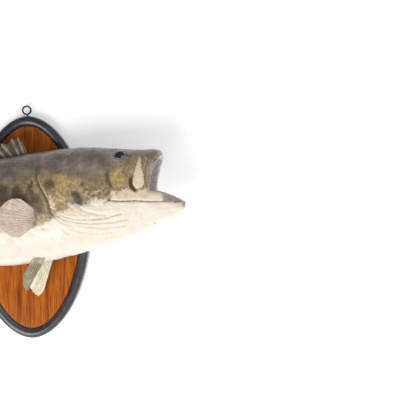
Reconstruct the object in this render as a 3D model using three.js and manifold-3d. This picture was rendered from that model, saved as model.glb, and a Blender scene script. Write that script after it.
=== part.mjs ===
// A largemouth bass, skin-mounted with its mouth open and its tail swung out, on an oval
// hanging plaque of wood. Millimetres, with +X towards the head, +Y into the wall and +Z up.
// The origin is the centre of the plaque's back.
import * as THREE from "three";
import { ParametricGeometry } from "three/addons/geometries/ParametricGeometry.js";
import { mergeVertices } from "three/addons/utils/BufferGeometryUtils.js";
import Module from "manifold-3d";

const wasm = await Module();
wasm.setup();
const { clamp, degToRad, lerp, smoothstep } = THREE.MathUtils;

const gap = 0.3; // between pieces that touch

const plaque = {
  halfWidth: 88.5,
  halfHeight: 164,
  roundness: 1.884, // power of the oval; 2 is an ellipse
  tilt: degToRad(1.5), // how far it hangs out of plumb
  steps: 46,
  rimWidth: 15,
  fieldFront: 16.5, // the panel's front, from the wall
  chamfer: 0.8,
  // the rim's section, as [distance in from the edge, distance from the wall]
  rimSection: [[0, 0], [0, 13], [2.4, 17.4], [7.6, 19], [12.6, 17.8], [15, 15.8], [15, 0]],
};

const screwEye = {
  ringRadius: 6, // to the middle of the wire
  wire: 2.5,
  shankDepth: 9, // how far the shank enters the wood
  fromWall: 9.5,
  lean: degToRad(7), // how far it was screwed in askew
  riseAboveEdge: 8.6, // the ring's middle above the plaque's top edge
};

// The fish's midline. Places on the fish are (along, up, out): along from the snout to the
// tail, up towards the back, and out to the fish's right, which faces the room.
const midline = {
  first: -70,
  last: 640,
  step: 2,
  start: new THREE.Vector3(197, -82, 61), // where along is 0
  // [along, degrees]: the climb towards the tail, and the swing away from the wall
  climb: [[0, -9], [110, -9], [190, -7.5], [240, -5], [290, -1], [330, 4], [365, 10], [400, 16],
    [430, 22], [460, 27], [497, 31], [640, 31]],
  swing: [[0, -8], [120, -8], [230, 0], [300, 0], [350, 6], [400, 20], [440, 33], [475, 44],
    [510, 50], [640, 52]],
};

// The body's sections from the mouth's rim to the root of the tail fin. Each leans: its top,
// flank and bottom lie at their own distance along.
// [flank along, top along, top up, flank up, half width, bottom along, bottom up, crown, keel]
const sections = [
  [14, -6, 42, -6, 31, -29.5, -29.5, 0.6, 1.25],
  [17, -5.5, 47, -6.3, 33, -28, -36, 0.63, 1.1],
  [24, 0, 50.8, -7, 35, -14, -43.5, 0.68, 0.96],
  [42, 22, 54, -6, 37, 14, -51.5, 0.72, 0.89],
  [62, 46, 59, -4, 38.5, 42, -61, 0.76, 0.86],
  [84, 68, 64, -2, 39.5, 72, -68, 0.82, 0.86],
  [112, 103, 71, 0, 41, 106, -74, 0.88, 0.86],
  [150, 145, 74.2, 1, 42, 148, -79.5, 0.92, 0.86],
  [190, 190, 74.5, 2, 41.5, 190, -82.5, 0.95, 0.86],
  [235, 235, 72.5, 1, 43, 235, -82, 0.97, 0.86],
  [275, 275, 70, 0, 41.5, 275, -79, 0.98, 0.86],
  [300, 300, 67.5, 0, 38, 300, -73.5, 0.98, 0.88],
  [330, 330, 60.5, 0, 33, 330, -61, 0.98, 0.9],
  [365, 365, 51, 0, 27, 365, -49, 0.98, 0.94],
  [400, 400, 41, 0, 20.5, 400, -40, 1, 0.98],
  [430, 430, 34, 0, 15.5, 430, -34, 1, 1],
  [460, 460, 29.5, 0, 11, 460, -29.5, 1, 1],
  [485, 485, 27, 0, 7.5, 485, -27.5, 1, 1],
  [500, 500, 27.5, 0, 5, 500, -28.5, 1, 1],
];
const bodyStations = [500, 482, 462, 440, 415, 388, 360, 332, 300, 264, 226, 190, 164, 140, 118,
  98, 80, 64, 49, 36, 24, 17, 14];
const around = 24; // points round a section
const mouthEnd = 14; // flank along at the mouth's rim
const faceEnd = 45; // where the lean of the mouth's rim has died out

// The hollow of the mouth, from just inside the lips to the throat.
// Its columns are those of the sections.
const mouth = [
  [16, -3, 38, -6, 27.5, -25, -27.5, 0.64, 1.15],
  [23, 4, 41, -7, 28.5, -12, -34.5, 0.7, 1],
  [37, 22, 43.5, -7, 30, 14, -42, 0.76, 0.95],
  [57, 46, 44, -6, 30.5, 40, -49, 0.8, 0.95],
  [78, 70, 38, -6, 29, 70, -51, 0.85, 0.95],
  [100, 98, 24, -8, 23, 98, -44, 0.9, 0.95],
  [122, 122, 6, -11, 14, 122, -28, 0.9, 0.95],
];

// Cutting shapes end beyond the fish: ahead of it, over and under it, and at its sides.
const beyond = { along: -90, up: 110, out: 120 };
const flankReach = [2, 90]; // how far out a plate of one flank is cut
const plateRoom = 6; // height of the room that is cut over a plate

const parting = {
  // the gill opening, which parts the head from the trunk, as [along, up]
  gill: [[172.5, 100], [172.5, 42], [169.5, 24], [164.5, 12], [160, 0], [157, -15], [148, -27.5],
    [134, -37], [117, -46], [108, -53], [104, -62], [102, -100]],
  jaw: [[-90, -6.2], [66, -6.2], [74, -14], [87, -50], [96, -110], [-90, -110]],
  tailAlong: 400,
};

const gillCover = {
  outline: [[169.5, 39], [166.5, 26], [161.5, 14], [157, 2], [154.5, -14], [146, -25], [133, -34],
    [116, -42], [100, -46.5], [88, -44], [86, -25], [91, 3], [98, 30], [112, 45], [140, 50]],
  outlineSteps: 24,
  depth: 5,
  rise: 2.6, // how far its hind edge stands off the body
  riseFrom: 94,
  riseTo: 154,
};

const maxilla = {
  outline: [[20, 46], [29, 43], [36, 31], [41, 17], [42.5, 4], [37, -2.5], [27, -2.5], [20.5, 3],
    [17.5, 24]],
  outlineSteps: 16,
  depth: 2.3,
  rise: 1.8,
};

const eye = {
  along: 48.5,
  up: 50.8,
  radius: 9.3,
  bulge: 5.4, // half its thickness
  sunk: 2.4, // its middle below the skin
  faceUp: degToRad(26),
  faceForward: degToRad(6),
};

const tongue = {
  along: 46, up: -43, halfLength: 32, halfWidth: 15, halfHeight: 6, slope: degToRad(-9),
};

const finEdge = 0.9; // thickness of a fin's free edge
const finRoot = { median: 3, tail: 6, paired: 4 }; // how deep a fin starts in the body
const finReach = { first: 0.04, last: 0.985 }; // where its thickness starts and ends

// Fins on the midline, as [along at the root, lean back from upright in degrees, height] rows.
const spinyDorsal = {
  spines: [[187, 18, 21], [192, 15, 27.5], [200, 19, 27], [209, 38, 26], [220, 41, 25],
    [232, 42, 23.5], [244, 43, 21.5], [256, 43, 18.5], [267, 44, 15.5], [277, 44, 12.5],
    [286, 44, 11]],
  notch: 0.76, // height of the membrane between two spines
  thick: 2.2,
};
const softDorsal = {
  rays: [[302, 28, 38], [311, 33, 55], [322, 38, 63], [335, 43, 62], [350, 47, 55],
    [366, 51, 46], [384, 56, 36]],
  thick: 2.6,
};
const analFin = {
  rays: [[346, 14, 20], [351, 15, 35], [359, 17, 43], [369, 20, 44], [380, 24, 40], [392, 28, 34],
    [402, 32, 27]],
  thick: 2.6,
};
// The tail fin's rays, as [angle up from the midline in degrees, length].
const tailFin = {
  rootAlong: 496,
  rootHalf: 26,
  rays: [[-37, 60], [-31, 76], [-23, 80], [-12, 74], [0, 70], [12, 74], [23, 81], [31, 79],
    [37, 63]],
  thick: 4.5,
};

// Paired fins: the root's middle and half length, how far they stand out, and their rays as
// [angle up from straight back in degrees, length].
const pairedFins = [
  {
    name: "pectoral_fin_right", along: 181, up: -20, side: 1, rootHalf: 12, rootLean: 66,
    standOut: 27, thick: 2.6,
    rays: [[42, 36], [35, 47], [23, 52], [11, 53], [0, 48], [-13, 37], [-30, 20]],
  },
  {
    name: "pectoral_fin_left", along: 181, up: -33, side: -1, rootHalf: 6, rootLean: 60,
    standOut: 3, thick: 1.8,
    rays: [[-22, 42], [-30, 50], [-38, 50], [-46, 42]],
  },
  {
    name: "pelvic_fin_right", along: 187, up: -75, side: 1, rootHalf: 10.5, rootLean: 8,
    standOut: 12, thick: 2.4,
    rays: [[-55, 54], [-56.5, 51], [-54, 40], [-52, 24]],
  },
  {
    name: "pelvic_fin_left", along: 180, up: -79, side: -1, rootHalf: 7.5, rootLean: 8,
    standOut: 12, thick: 2.4,
    rays: [[-64, 51], [-63, 58], [-56, 53], [-50, 44]],
  },
];

const finishes = {
  flesh: { color: 0x8d8463, roughness: 0.45, metalness: 0 },
  pale: { color: 0xe0d8c4, roughness: 0.5, metalness: 0 },
  fin: { color: 0x9c9170, roughness: 0.5, metalness: 0 },
  glass: { color: 0x15140f, roughness: 0.08, metalness: 0 },
  tongue: { color: 0xc9a896, roughness: 0.5, metalness: 0 },
  stainedWood: { color: 0x8e4a1f, roughness: 0.35, metalness: 0 },
  ebonised: { color: 0x1b1c20, roughness: 0.3, metalness: 0 },
  blackSteel: { color: 0x1f1f21, roughness: 0.35, metalness: 1 },
};

// ---- curves and places -------------------------------------------------------------------

// A smooth curve through rows of numbers, read at a value of their first column.
function tableCurve(rows) {
  const secant = (i, c) => (rows[i + 1][c] - rows[i][c]) / (rows[i + 1][0] - rows[i][0]);
  const slope = (i, c) => {
    if (i === 0) return secant(0, c);
    if (i === rows.length - 1) return secant(i - 1, c);
    const before = rows[i][0] - rows[i - 1][0];
    const after = rows[i + 1][0] - rows[i][0];
    return (secant(i - 1, c) * after + secant(i, c) * before) / (before + after);
  };
  return (x) => {
    const next = rows.findIndex((row, k) => k > 0 && x < row[0]);
    const i = next < 0 ? rows.length - 2 : next - 1;
    const span = rows[i + 1][0] - rows[i][0];
    const t = clamp((x - rows[i][0]) / span, 0, 1);
    const ease = t * t * (3 - 2 * t);
    return rows[i].map((value, c) =>
      lerp(value, rows[i + 1][c], ease) +
      span * t * (1 - t) * ((1 - t) * slope(i, c) - t * slope(i + 1, c)));
  };
}

// Points on the midline at even steps, with the directions back, up and out at each.
function walkMidline() {
  const climbAt = tableCurve(midline.climb);
  const swingAt = tableCurve(midline.swing);
  const stops = [];
  const place = new THREE.Vector3();
  for (let along = midline.first; along <= midline.last; along += midline.step) {
    const climb = degToRad(climbAt(Math.max(along, 0))[1]);
    const swing = degToRad(swingAt(Math.max(along, 0))[1]);
    const level = new THREE.Vector3(-Math.cos(swing), -Math.sin(swing), 0);
    const back = level.clone().multiplyScalar(Math.cos(climb)).setZ(Math.sin(climb));
    const up = level.clone().multiplyScalar(-Math.sin(climb)).setZ(Math.cos(climb));
    const out = new THREE.Vector3(Math.sin(swing), -Math.cos(swing), 0);
    if (stops.length) {
      const half = midline.step / 2;
      place.addScaledVector(stops.at(-1).back, half).addScaledVector(back, half);
    }
    stops.push({ place: place.clone(), back, up, out });
  }
  const zero = stops[-midline.first / midline.step].place.clone();
  for (const stop of stops) stop.place.sub(zero).add(midline.start);
  return stops;
}
const midlineStops = walkMidline();

// The frame of the midline at a distance along it.
function frameAt(along) {
  const position = (along - midline.first) / midline.step;
  const i = clamp(Math.floor(position), 0, midlineStops.length - 2);
  const mix = (key) =>
    midlineStops[i][key].clone().lerp(midlineStops[i + 1][key], position - i);
  return { place: mix("place"), back: mix("back"), up: mix("up"), out: mix("out") };
}

function onFish(along, up, out) {
  const frame = frameAt(along);
  return frame.place.addScaledVector(frame.up, up).addScaledVector(frame.out, out);
}

// ---- sections of the body ----------------------------------------------------------------

const sectionAt = tableCurve(sections);
const quarterTurn = Math.PI / 2;

// The place [along, up, out] of a section's point, at an angle from the right flank, over the
// back, to the left flank and under the belly. grow moves it out, by a distance or by a
// function of its distance along.
function sectionPlace(section, angle, grow) {
  const [flank, topAlong, topUp, flankUp, half, bottomAlong, bottomUp, crown, keel] = section;
  const upper = Math.sin(angle) >= 0;
  const power = upper ? crown : keel;
  const rise = Math.abs(Math.sin(angle));
  const face = 1 - smoothstep(flank, mouthEnd, faceEnd);
  const lean = rise ** (1.4 - 0.42 * face);
  const along = lerp(flank, upper ? topAlong : bottomAlong, lean);
  const more = typeof grow === "function" ? grow(along) : grow;
  const up = lerp(flankUp, upper ? topUp + more : bottomUp - more, rise ** power);
  const out = Math.sign(Math.cos(angle)) * (half + more) * Math.abs(Math.cos(angle)) ** power;
  return [along, up, out];
}

const sectionPoint = (section, angle, grow) => onFish(...sectionPlace(section, angle, grow));

// How far out the body's surface lies at a place in side view.
function surfaceOut(along, up) {
  let flank = along;
  let low = -quarterTurn;
  let high = quarterTurn;
  let place = [];
  for (let k = 0; k < 40; k++) {
    const angle = (low + high) / 2;
    place = sectionPlace(sectionAt(flank), angle, 0);
    flank += along - place[0];
    if (place[1] < up) low = angle;
    else high = angle;
  }
  return place[2];
}

function sectionRow(section, grow = 0) {
  return Array.from({ length: around }, (_, k) =>
    sectionPoint(section, ((k + 0.5) / around) * 2 * Math.PI, grow));
}

function middleOf(row) {
  const middle = row.reduce((sum, point) => sum.add(point), new THREE.Vector3());
  return middle.divideScalar(row.length);
}

// ---- solids ------------------------------------------------------------------------------

// A closed solid over rows of points. Each row closes on itself, and the first and last are
// drawn together, to a point or to a line.
function skinOver(rows) {
  const count = rows[0].length;
  const geometry = new ParametricGeometry((u, v, target) => {
    const row = rows[Math.round(v * (rows.length - 1))];
    target.copy(row[Math.round(u * count) % count]);
  }, count, rows.length - 1);
  return solidOf(geometry);
}

function withEnds(rows) {
  const pole = (row) => row.map(() => middleOf(row));
  return [pole(rows[0]), ...rows, pole(rows.at(-1))];
}

// A solid from a closed geometry, facing out.
function solidOf(geometry) {
  geometry.deleteAttribute("normal");
  geometry.deleteAttribute("uv");
  const merged = mergeVertices(geometry, 1e-3);
  const index = merged.index.array;
  const corners = [];
  for (let i = 0; i < index.length; i += 3) {
    const [a, b, c] = index.slice(i, i + 3);
    if (a !== b && b !== c && c !== a) corners.push(a, b, c);
  }
  const build = (triVerts) => new wasm.Manifold(new wasm.Mesh({
    numProp: 3, vertProperties: merged.attributes.position.array, triVerts,
  }));
  const made = build(new Uint32Array(corners));
  return made.volume() > 0 ? made : build(new Uint32Array(corners.reverse()));
}

function placed(geometry, matrix) {
  return solidOf(geometry.applyMatrix4(matrix));
}

// A prism through the fish, from an outline in side view and two distances out.
function sidePrism(outline, from, to) {
  const shape = new THREE.Shape(outline.map(([along, up]) => new THREE.Vector2(along, up)));
  const prism = new THREE.ExtrudeGeometry(shape, { depth: to - from, bevelEnabled: false });
  const points = prism.attributes.position;
  for (let i = 0; i < points.count; i++) {
    const place = onFish(points.getX(i), points.getY(i), points.getZ(i) + from);
    points.setXYZ(i, place.x, place.y, place.z);
  }
  return solidOf(prism);
}

// A smooth closed outline through points, spread outwards by a margin.
function roundedOutline({ outline, outlineSteps }, margin) {
  const corners = outline.map(([along, up]) => new THREE.Vector3(along, up, 0));
  const loop = new THREE.CatmullRomCurve3(corners, true, "centripetal");
  const turn = THREE.ShapeUtils.isClockWise(corners) ? -1 : 1;
  return Array.from({ length: outlineSteps }, (_, k) => {
    const point = loop.getPointAt(k / outlineSteps);
    const edge = loop.getTangentAt(k / outlineSteps);
    return [point.x + turn * margin * edge.y, point.y - turn * margin * edge.x];
  });
}

const moved = (outline, along, up) => outline.map(([x, y]) => [x + along, y + up]);

// Everything ahead of a distance along the fish.
function aheadOf(along) {
  const size = 800;
  const frame = frameAt(along);
  const centre = frame.place.clone().addScaledVector(frame.back, -size / 2);
  const matrix = new THREE.Matrix4().makeBasis(frame.back, frame.out, frame.up).setPosition(centre);
  return placed(new THREE.BoxGeometry(size, size, size), matrix);
}

// ---- the plaque --------------------------------------------------------------------------

function ovalPoint(angle, inset, fromWall) {
  const power = 2 / plaque.roundness;
  const bend = (value) => Math.sign(value) * Math.abs(value) ** power;
  const x = (plaque.halfWidth - inset) * bend(Math.cos(angle));
  const z = (plaque.halfHeight - inset) * bend(Math.sin(angle));
  const cos = Math.cos(plaque.tilt);
  const sin = Math.sin(plaque.tilt);
  return new THREE.Vector3(x * cos - z * sin, -fromWall, x * sin + z * cos);
}

function ovalRow(inset, fromWall) {
  return Array.from({ length: plaque.steps }, (_, k) =>
    ovalPoint((k / plaque.steps) * 2 * Math.PI, inset, fromWall));
}

function panelSolid(margin) {
  const { chamfer } = plaque;
  const edge = plaque.rimWidth + gap - margin;
  const front = plaque.fieldFront + margin;
  return skinOver(withEnds([ovalRow(edge, 0), ovalRow(edge, front - chamfer),
    ovalRow(edge + chamfer, front)]));
}

// The rim is a ring: its section runs round the oval and closes on itself.
function rimSolid(margin) {
  const section = plaque.rimSection.map(([inset, fromWall]) => {
    const spread = inset < 2 ? -margin : inset > 14 ? margin : 0;
    return [inset + spread, fromWall > 0 ? fromWall + margin : 0];
  });
  const rows = [...section, section[0]].map(([inset, fromWall]) => ovalRow(inset, fromWall));
  return skinOver(rows);
}

function screwEyeSolids() {
  const top = ovalPoint(quarterTurn, 0, screwEye.fromWall);
  const turn = plaque.tilt + screwEye.lean;
  const upright = new THREE.Vector3(-Math.sin(turn), 0, Math.cos(turn));
  const ringMiddle = top.clone().addScaledVector(upright, screwEye.riseAboveEdge);
  const ring = new THREE.TorusGeometry(screwEye.ringRadius, screwEye.wire / 2, 7, 18);
  const flat = new THREE.Matrix4().makeRotationX(Math.PI / 2).setPosition(ringMiddle);
  const tall = screwEye.shankDepth + screwEye.riseAboveEdge - screwEye.ringRadius;
  const shank = (radius, extra) => {
    const rod = new THREE.CylinderGeometry(radius, radius, tall + extra, 10);
    const middle = top.clone().addScaledVector(upright, tall / 2 - screwEye.shankDepth - extra / 2);
    const matrix = new THREE.Matrix4().makeRotationY(-turn)
      .multiply(new THREE.Matrix4().makeRotationX(quarterTurn)).setPosition(middle);
    return placed(rod, matrix);
  };
  const made = placed(ring, flat).add(shank(screwEye.wire / 2, 0));
  return { made, hole: shank(screwEye.wire / 2 + gap, gap) };
}

// ---- the body ----------------------------------------------------------------------------

// The outside of the body, closed across the mouth.
function bodyForm(grow) {
  return skinOver(withEnds(bodyStations.map((along) => sectionRow(sectionAt(along), grow))));
}

// The body with the hollow of its open mouth.
function hollowBody() {
  const outside = bodyStations.map((along) => sectionRow(sectionAt(along)));
  const inside = mouth.map((section) => sectionRow(section));
  return skinOver(withEnds([...outside, ...inside]));
}

// A plate that lies in the flank: its outline, how deep it is let in and how far it stands off.
function flankPlate(spec, side, rise, margin) {
  const [near, far] = flankReach;
  const reach = side > 0 ? [near, far] : [-far, -near];
  const prism = sidePrism(roundedOutline(spec, margin), ...reach);
  return bodyForm(rise).subtract(bodyForm(-spec.depth - margin)).intersect(prism);
}

function eyeSolid(side, margin) {
  const { along, up } = eye;
  const out = surfaceOut(along, up);
  const frame = frameAt(along);
  const faceOut = frame.out.clone().multiplyScalar(side * Math.cos(eye.faceUp))
    .addScaledVector(frame.up, Math.sin(eye.faceUp))
    .addScaledVector(frame.back, -Math.sin(eye.faceForward)).normalize();
  const across = new THREE.Vector3().crossVectors(frame.up, faceOut).normalize();
  const tall = new THREE.Vector3().crossVectors(faceOut, across);
  const middle = onFish(along, up, side * out).addScaledVector(faceOut, -eye.sunk);
  const matrix = new THREE.Matrix4().makeBasis(across, faceOut, tall).setPosition(middle)
    .multiply(new THREE.Matrix4().makeScale(eye.radius + margin, eye.bulge + margin,
      eye.radius + margin));
  return placed(new THREE.SphereGeometry(1, 13, 8), matrix);
}

function tongueSolid(margin) {
  const frame = frameAt(tongue.along);
  const back = frame.back.clone().applyAxisAngle(frame.out, -tongue.slope);
  const up = frame.up.clone().applyAxisAngle(frame.out, -tongue.slope);
  const middle = onFish(tongue.along, tongue.up, 0);
  const matrix = new THREE.Matrix4().makeBasis(back, up, frame.out.clone().negate())
    .setPosition(middle)
    .multiply(new THREE.Matrix4().makeScale(tongue.halfLength + margin,
      tongue.halfHeight + margin, tongue.halfWidth + margin));
  return placed(new THREE.SphereGeometry(1, 14, 8), matrix);
}

// ---- fins --------------------------------------------------------------------------------

// A thin solid between a root line and a free edge. at(across, along ray, side) gives a point
// on one of its two faces; both ends of its rays close to a line.
function finSolid(steps, raySteps, at) {
  const { first, last } = finReach;
  const reach = [0, first];
  for (let k = 1; k <= raySteps; k++) reach.push(lerp(first, last, k / raySteps));
  reach.push(1);
  const rows = reach.map((t, row) => {
    const open = row > 0 && row < reach.length - 1 ? 0.5 : 0;
    const face = Array.from({ length: steps + 1 }, (_, k) => at(k / steps, t, open));
    const reverse = Array.from({ length: steps + 1 }, (_, k) => at(1 - k / steps, t, -open));
    return [...face, ...reverse];
  });
  return skinOver(rows);
}

// Table of rays spread evenly over 0 to 1, as a smooth curve.
function spreadRays(rays) {
  const last = rays.length - 1;
  const curve = tableCurve(rays.map((row, k) => [k / last, ...row]));
  return (across) => curve(across).slice(1);
}

// A fin on the back (side 1) or under the tail (side -1). trim shortens it between its rays.
function medianFin(rays, side, thick, steps, trim) {
  const rayAt = spreadRays(rays);
  return finSolid(steps, 2, (across, t, face) => {
    const [along, lean, height] = rayAt(across);
    const section = sectionAt(along);
    const rootUp = side > 0 ? section[2] : section[6];
    const angle = degToRad(lean);
    const length = height * trim(across) + finRoot.median;
    const up = rootUp + side * (t * length * Math.cos(angle) - finRoot.median);
    return onFish(along + t * length * Math.sin(angle), up, face * lerp(thick, finEdge, t));
  });
}

function tailFinSolid() {
  const rayAt = spreadRays(tailFin.rays);
  return finSolid(18, 3, (across, t, face) => {
    const [angle, length] = rayAt(across);
    const spread = degToRad(angle);
    const rootUp = lerp(-tailFin.rootHalf, tailFin.rootHalf, across);
    const reach = t * (length + finRoot.tail) - finRoot.tail;
    return onFish(tailFin.rootAlong + finRoot.tail + reach * Math.cos(spread),
      rootUp + reach * Math.sin(spread), face * lerp(tailFin.thick, finEdge, t));
  });
}

function pairedFinSolid(fin) {
  const rayAt = spreadRays(fin.rays);
  const frame = frameAt(fin.along);
  const middle = onFish(fin.along, fin.up, fin.side * (surfaceOut(fin.along, fin.up) - 1));
  const stand = degToRad(fin.standOut);
  const outward = frame.out.clone().multiplyScalar(fin.side);
  const back = frame.back.clone().multiplyScalar(Math.cos(stand))
    .addScaledVector(outward, Math.sin(stand));
  const facing = outward.clone().multiplyScalar(Math.cos(stand))
    .addScaledVector(frame.back, -Math.sin(stand));
  const lean = degToRad(fin.rootLean);
  const rootLine = frame.up.clone().multiplyScalar(Math.sin(lean))
    .addScaledVector(back, -Math.cos(lean));
  return finSolid(12, 2, (across, t, face) => {
    const [angle, length] = rayAt(across);
    const ray = degToRad(angle);
    const point = middle.clone().addScaledVector(rootLine, lerp(fin.rootHalf, -fin.rootHalf, across));
    const reach = t * (length + finRoot.paired) - finRoot.paired;
    return point.addScaledVector(back, reach * Math.cos(ray))
      .addScaledVector(frame.up, reach * Math.sin(ray))
      .addScaledVector(facing, face * lerp(fin.thick, finEdge, t));
  });
}

// ---- the object --------------------------------------------------------------------------

const bass = new THREE.Group();

function addMesh(name, solid, finish) {
  const { numProp, vertProperties, triVerts } = solid.getMesh();
  const count = vertProperties.length / numProp;
  const points = new Float32Array(count * 3);
  for (let i = 0; i < count; i++) {
    points.set(vertProperties.subarray(i * numProp, i * numProp + 3), i * 3);
  }
  const geometry = new THREE.BufferGeometry();
  geometry.setAttribute("position", new THREE.BufferAttribute(points, 3));
  geometry.setIndex(new THREE.BufferAttribute(triVerts, 1));
  const mesh = new THREE.Mesh(geometry, new THREE.MeshStandardMaterial(finishes[finish]));
  mesh.name = name;
  bass.add(mesh);
}

const eyeMetal = screwEyeSolids();
addMesh("plaque_panel", panelSolid(0), "stainedWood");
addMesh("plaque_rim", rimSolid(0).subtract(eyeMetal.hole), "ebonised");
addMesh("screw_eye", eyeMetal.made, "blackSteel");

// The far flank lies flat on the plaque.
const plaqueRoom = rimSolid(gap).add(panelSolid(gap));
const body = hollowBody().subtract(plaqueRoom);
const throughFish = (outline) => sidePrism(outline, -beyond.out, beyond.out);
const aheadOfGill = [[beyond.along, -beyond.up], [beyond.along, beyond.up]];
const headRegion = throughFish(parting.gill.concat(aheadOfGill));
const headRoom = throughFish(moved(parting.gill, gap, 0).concat(aheadOfGill));
const jawRegion = throughFish(parting.jaw);
const jawRoom = throughFish(moved(parting.jaw, gap, gap));

let head = body.intersect(headRegion);
let lowerJaw = head.intersect(jawRegion).subtract(tongueSolid(gap));
head = head.subtract(jawRoom).subtract(tongueSolid(gap));
const plateRise = (along) => gillCover.rise * smoothstep(along, gillCover.riseFrom, gillCover.riseTo);
for (const [sideName, side] of [["right", 1], ["left", -1]]) {
  const cover = flankPlate(gillCover, side, plateRise, 0).subtract(plaqueRoom);
  const plate = flankPlate(maxilla, side, maxilla.rise, 0);
  const overCover = flankPlate(gillCover, side, plateRoom, gap);
  const overPlate = flankPlate(maxilla, side, plateRoom, gap);
  head = head.subtract(overCover).subtract(overPlate).subtract(eyeSolid(side, gap));
  lowerJaw = lowerJaw.subtract(overCover).subtract(overPlate);
  addMesh("gill_cover_" + sideName, cover, "flesh");
  addMesh("maxilla_" + sideName, plate, "pale");
  addMesh("eye_" + sideName, eyeSolid(side, 0), "glass");
}
addMesh("head", head, "flesh");
addMesh("lower_jaw", lowerJaw, "pale");
addMesh("tongue", tongueSolid(0), "tongue");

const ahead = aheadOf(parting.tailAlong - gap / 2);
const aheadAndGap = aheadOf(parting.tailAlong + gap / 2);
let trunk = body.subtract(headRoom).intersect(ahead);
for (const side of [1, -1]) trunk = trunk.subtract(flankPlate(gillCover, side, plateRoom, gap));
addMesh("trunk", trunk, "flesh");
addMesh("tail", body.subtract(aheadAndGap), "flesh");

const finRoom = bodyForm(gap);

const notched = (across) => {
  const phase = (across * (spinyDorsal.spines.length - 1)) % 1;
  return phase < 0.01 || phase > 0.99 ? 1 : spinyDorsal.notch;
};
const spinySteps = 2 * (spinyDorsal.spines.length - 1);
addMesh("dorsal_fin_spiny",
  medianFin(spinyDorsal.spines, 1, spinyDorsal.thick, spinySteps, notched).subtract(finRoom), "fin");
addMesh("dorsal_fin_soft",
  medianFin(softDorsal.rays, 1, softDorsal.thick, 14, () => 1).subtract(finRoom), "fin");
addMesh("anal_fin",
  medianFin(analFin.rays, -1, analFin.thick, 12, () => 1).subtract(finRoom), "fin");
addMesh("caudal_fin", tailFinSolid().subtract(finRoom), "fin");
for (const fin of pairedFins) {
  const made = pairedFinSolid(fin).subtract(finRoom).subtract(plaqueRoom);
  addMesh(fin.name, made, fin.side > 0 ? "pale" : "fin");
}

export default bass;
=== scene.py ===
# A largemouth bass mounted with its mouth open and its tail swung out, on an oval wooden plaque.
# Tables are in millimetres, in the fish's own directions: along from snout to tail, up to the
# back, and out to the right flank, which faces the room. Meshes are in metres.
import math
import bpy
import bmesh
import numpy as np
from mathutils import Matrix, Vector


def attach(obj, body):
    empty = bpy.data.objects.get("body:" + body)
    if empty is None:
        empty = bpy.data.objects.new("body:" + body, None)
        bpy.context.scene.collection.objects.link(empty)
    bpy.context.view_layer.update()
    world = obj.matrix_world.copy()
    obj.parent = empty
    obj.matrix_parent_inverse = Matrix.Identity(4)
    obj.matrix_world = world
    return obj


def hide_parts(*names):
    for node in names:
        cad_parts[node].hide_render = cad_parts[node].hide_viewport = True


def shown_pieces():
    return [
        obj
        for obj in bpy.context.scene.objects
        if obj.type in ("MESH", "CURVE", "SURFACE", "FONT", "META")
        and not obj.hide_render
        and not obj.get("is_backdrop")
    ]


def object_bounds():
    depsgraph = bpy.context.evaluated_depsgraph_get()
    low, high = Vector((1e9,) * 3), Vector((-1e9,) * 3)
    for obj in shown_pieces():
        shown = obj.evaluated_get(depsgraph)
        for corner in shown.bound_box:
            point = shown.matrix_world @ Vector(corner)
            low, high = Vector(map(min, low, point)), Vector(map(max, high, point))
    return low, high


mm = 0.001
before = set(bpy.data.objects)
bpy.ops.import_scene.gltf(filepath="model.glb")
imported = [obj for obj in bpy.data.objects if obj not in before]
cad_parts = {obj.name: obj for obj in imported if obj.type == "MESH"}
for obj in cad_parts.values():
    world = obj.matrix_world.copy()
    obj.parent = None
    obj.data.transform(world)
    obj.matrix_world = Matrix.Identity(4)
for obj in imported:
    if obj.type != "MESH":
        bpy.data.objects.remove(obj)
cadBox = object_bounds()


# Small helpers

def ramp(value, low, high):
    t = np.clip((np.asarray(value, float) - low) / (high - low), 0, 1)
    return t * t * (3 - 2 * t)


def bump(distance, width):
    return np.exp(-(np.asarray(distance, float) / width) ** 2)


def lerp(first, second, amount):
    return first + (second - first) * amount


# A smooth curve through rows of numbers, read at values of their first column.
def tableCurve(rows):
    rows = np.array(rows, float)
    x = rows[:, 0]
    secant = (rows[1:] - rows[:-1]) / (x[1:] - x[:-1])[:, None]
    slope = np.empty_like(rows)
    slope[0], slope[-1] = secant[0], secant[-1]
    before, after = (x[1:-1] - x[:-2])[:, None], (x[2:] - x[1:-1])[:, None]
    slope[1:-1] = (secant[:-1] * after + secant[1:] * before) / (before + after)

    def read(value):
        value = np.asarray(value, float)
        i = np.clip(np.searchsorted(x, value, side="right") - 1, 0, len(x) - 2)
        span = (x[i + 1] - x[i])[..., None]
        t = np.clip((value - x[i])[..., None] / span, 0, 1)
        ease = t * t * (3 - 2 * t)
        bow = span * t * (1 - t) * ((1 - t) * slope[i] - t * slope[i + 1])
        return rows[i] + (rows[i + 1] - rows[i]) * ease + bow
    return read


# A smooth random field from -1 to 1, with lumps of a given size in each direction.
def softNoise(x, y, sizeX, sizeY, seed):
    cells = np.random.default_rng(seed).uniform(-1, 1, (97, 97))
    px, py = np.asarray(x, float) / sizeX, np.asarray(y, float) / sizeY
    ix, iy = np.floor(px).astype(int), np.floor(py).astype(int)
    fx, fy = px - ix, py - iy
    fx, fy = fx * fx * (3 - 2 * fx), fy * fy * (3 - 2 * fy)
    corner = lambda a, b: cells[(ix + a) % 97, (iy + b) % 97]
    low = lerp(corner(0, 0), corner(1, 0), fx)
    high = lerp(corner(0, 1), corner(1, 1), fx)
    return lerp(low, high, fy)


def smoothLine(points, closed=False, steps=6):
    points = np.array(points, float)
    if closed:
        points = np.vstack([points[-2:], points, points[:3]])
    reach = np.concatenate([[0], np.cumsum(np.hypot(*np.diff(points, axis=0).T))])
    curve = tableCurve(np.column_stack([reach, points]))
    first, last = (reach[2], reach[-3]) if closed else (reach[0], reach[-1])
    return curve(np.linspace(first, last, steps * len(points)))[:, 1:]


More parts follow.
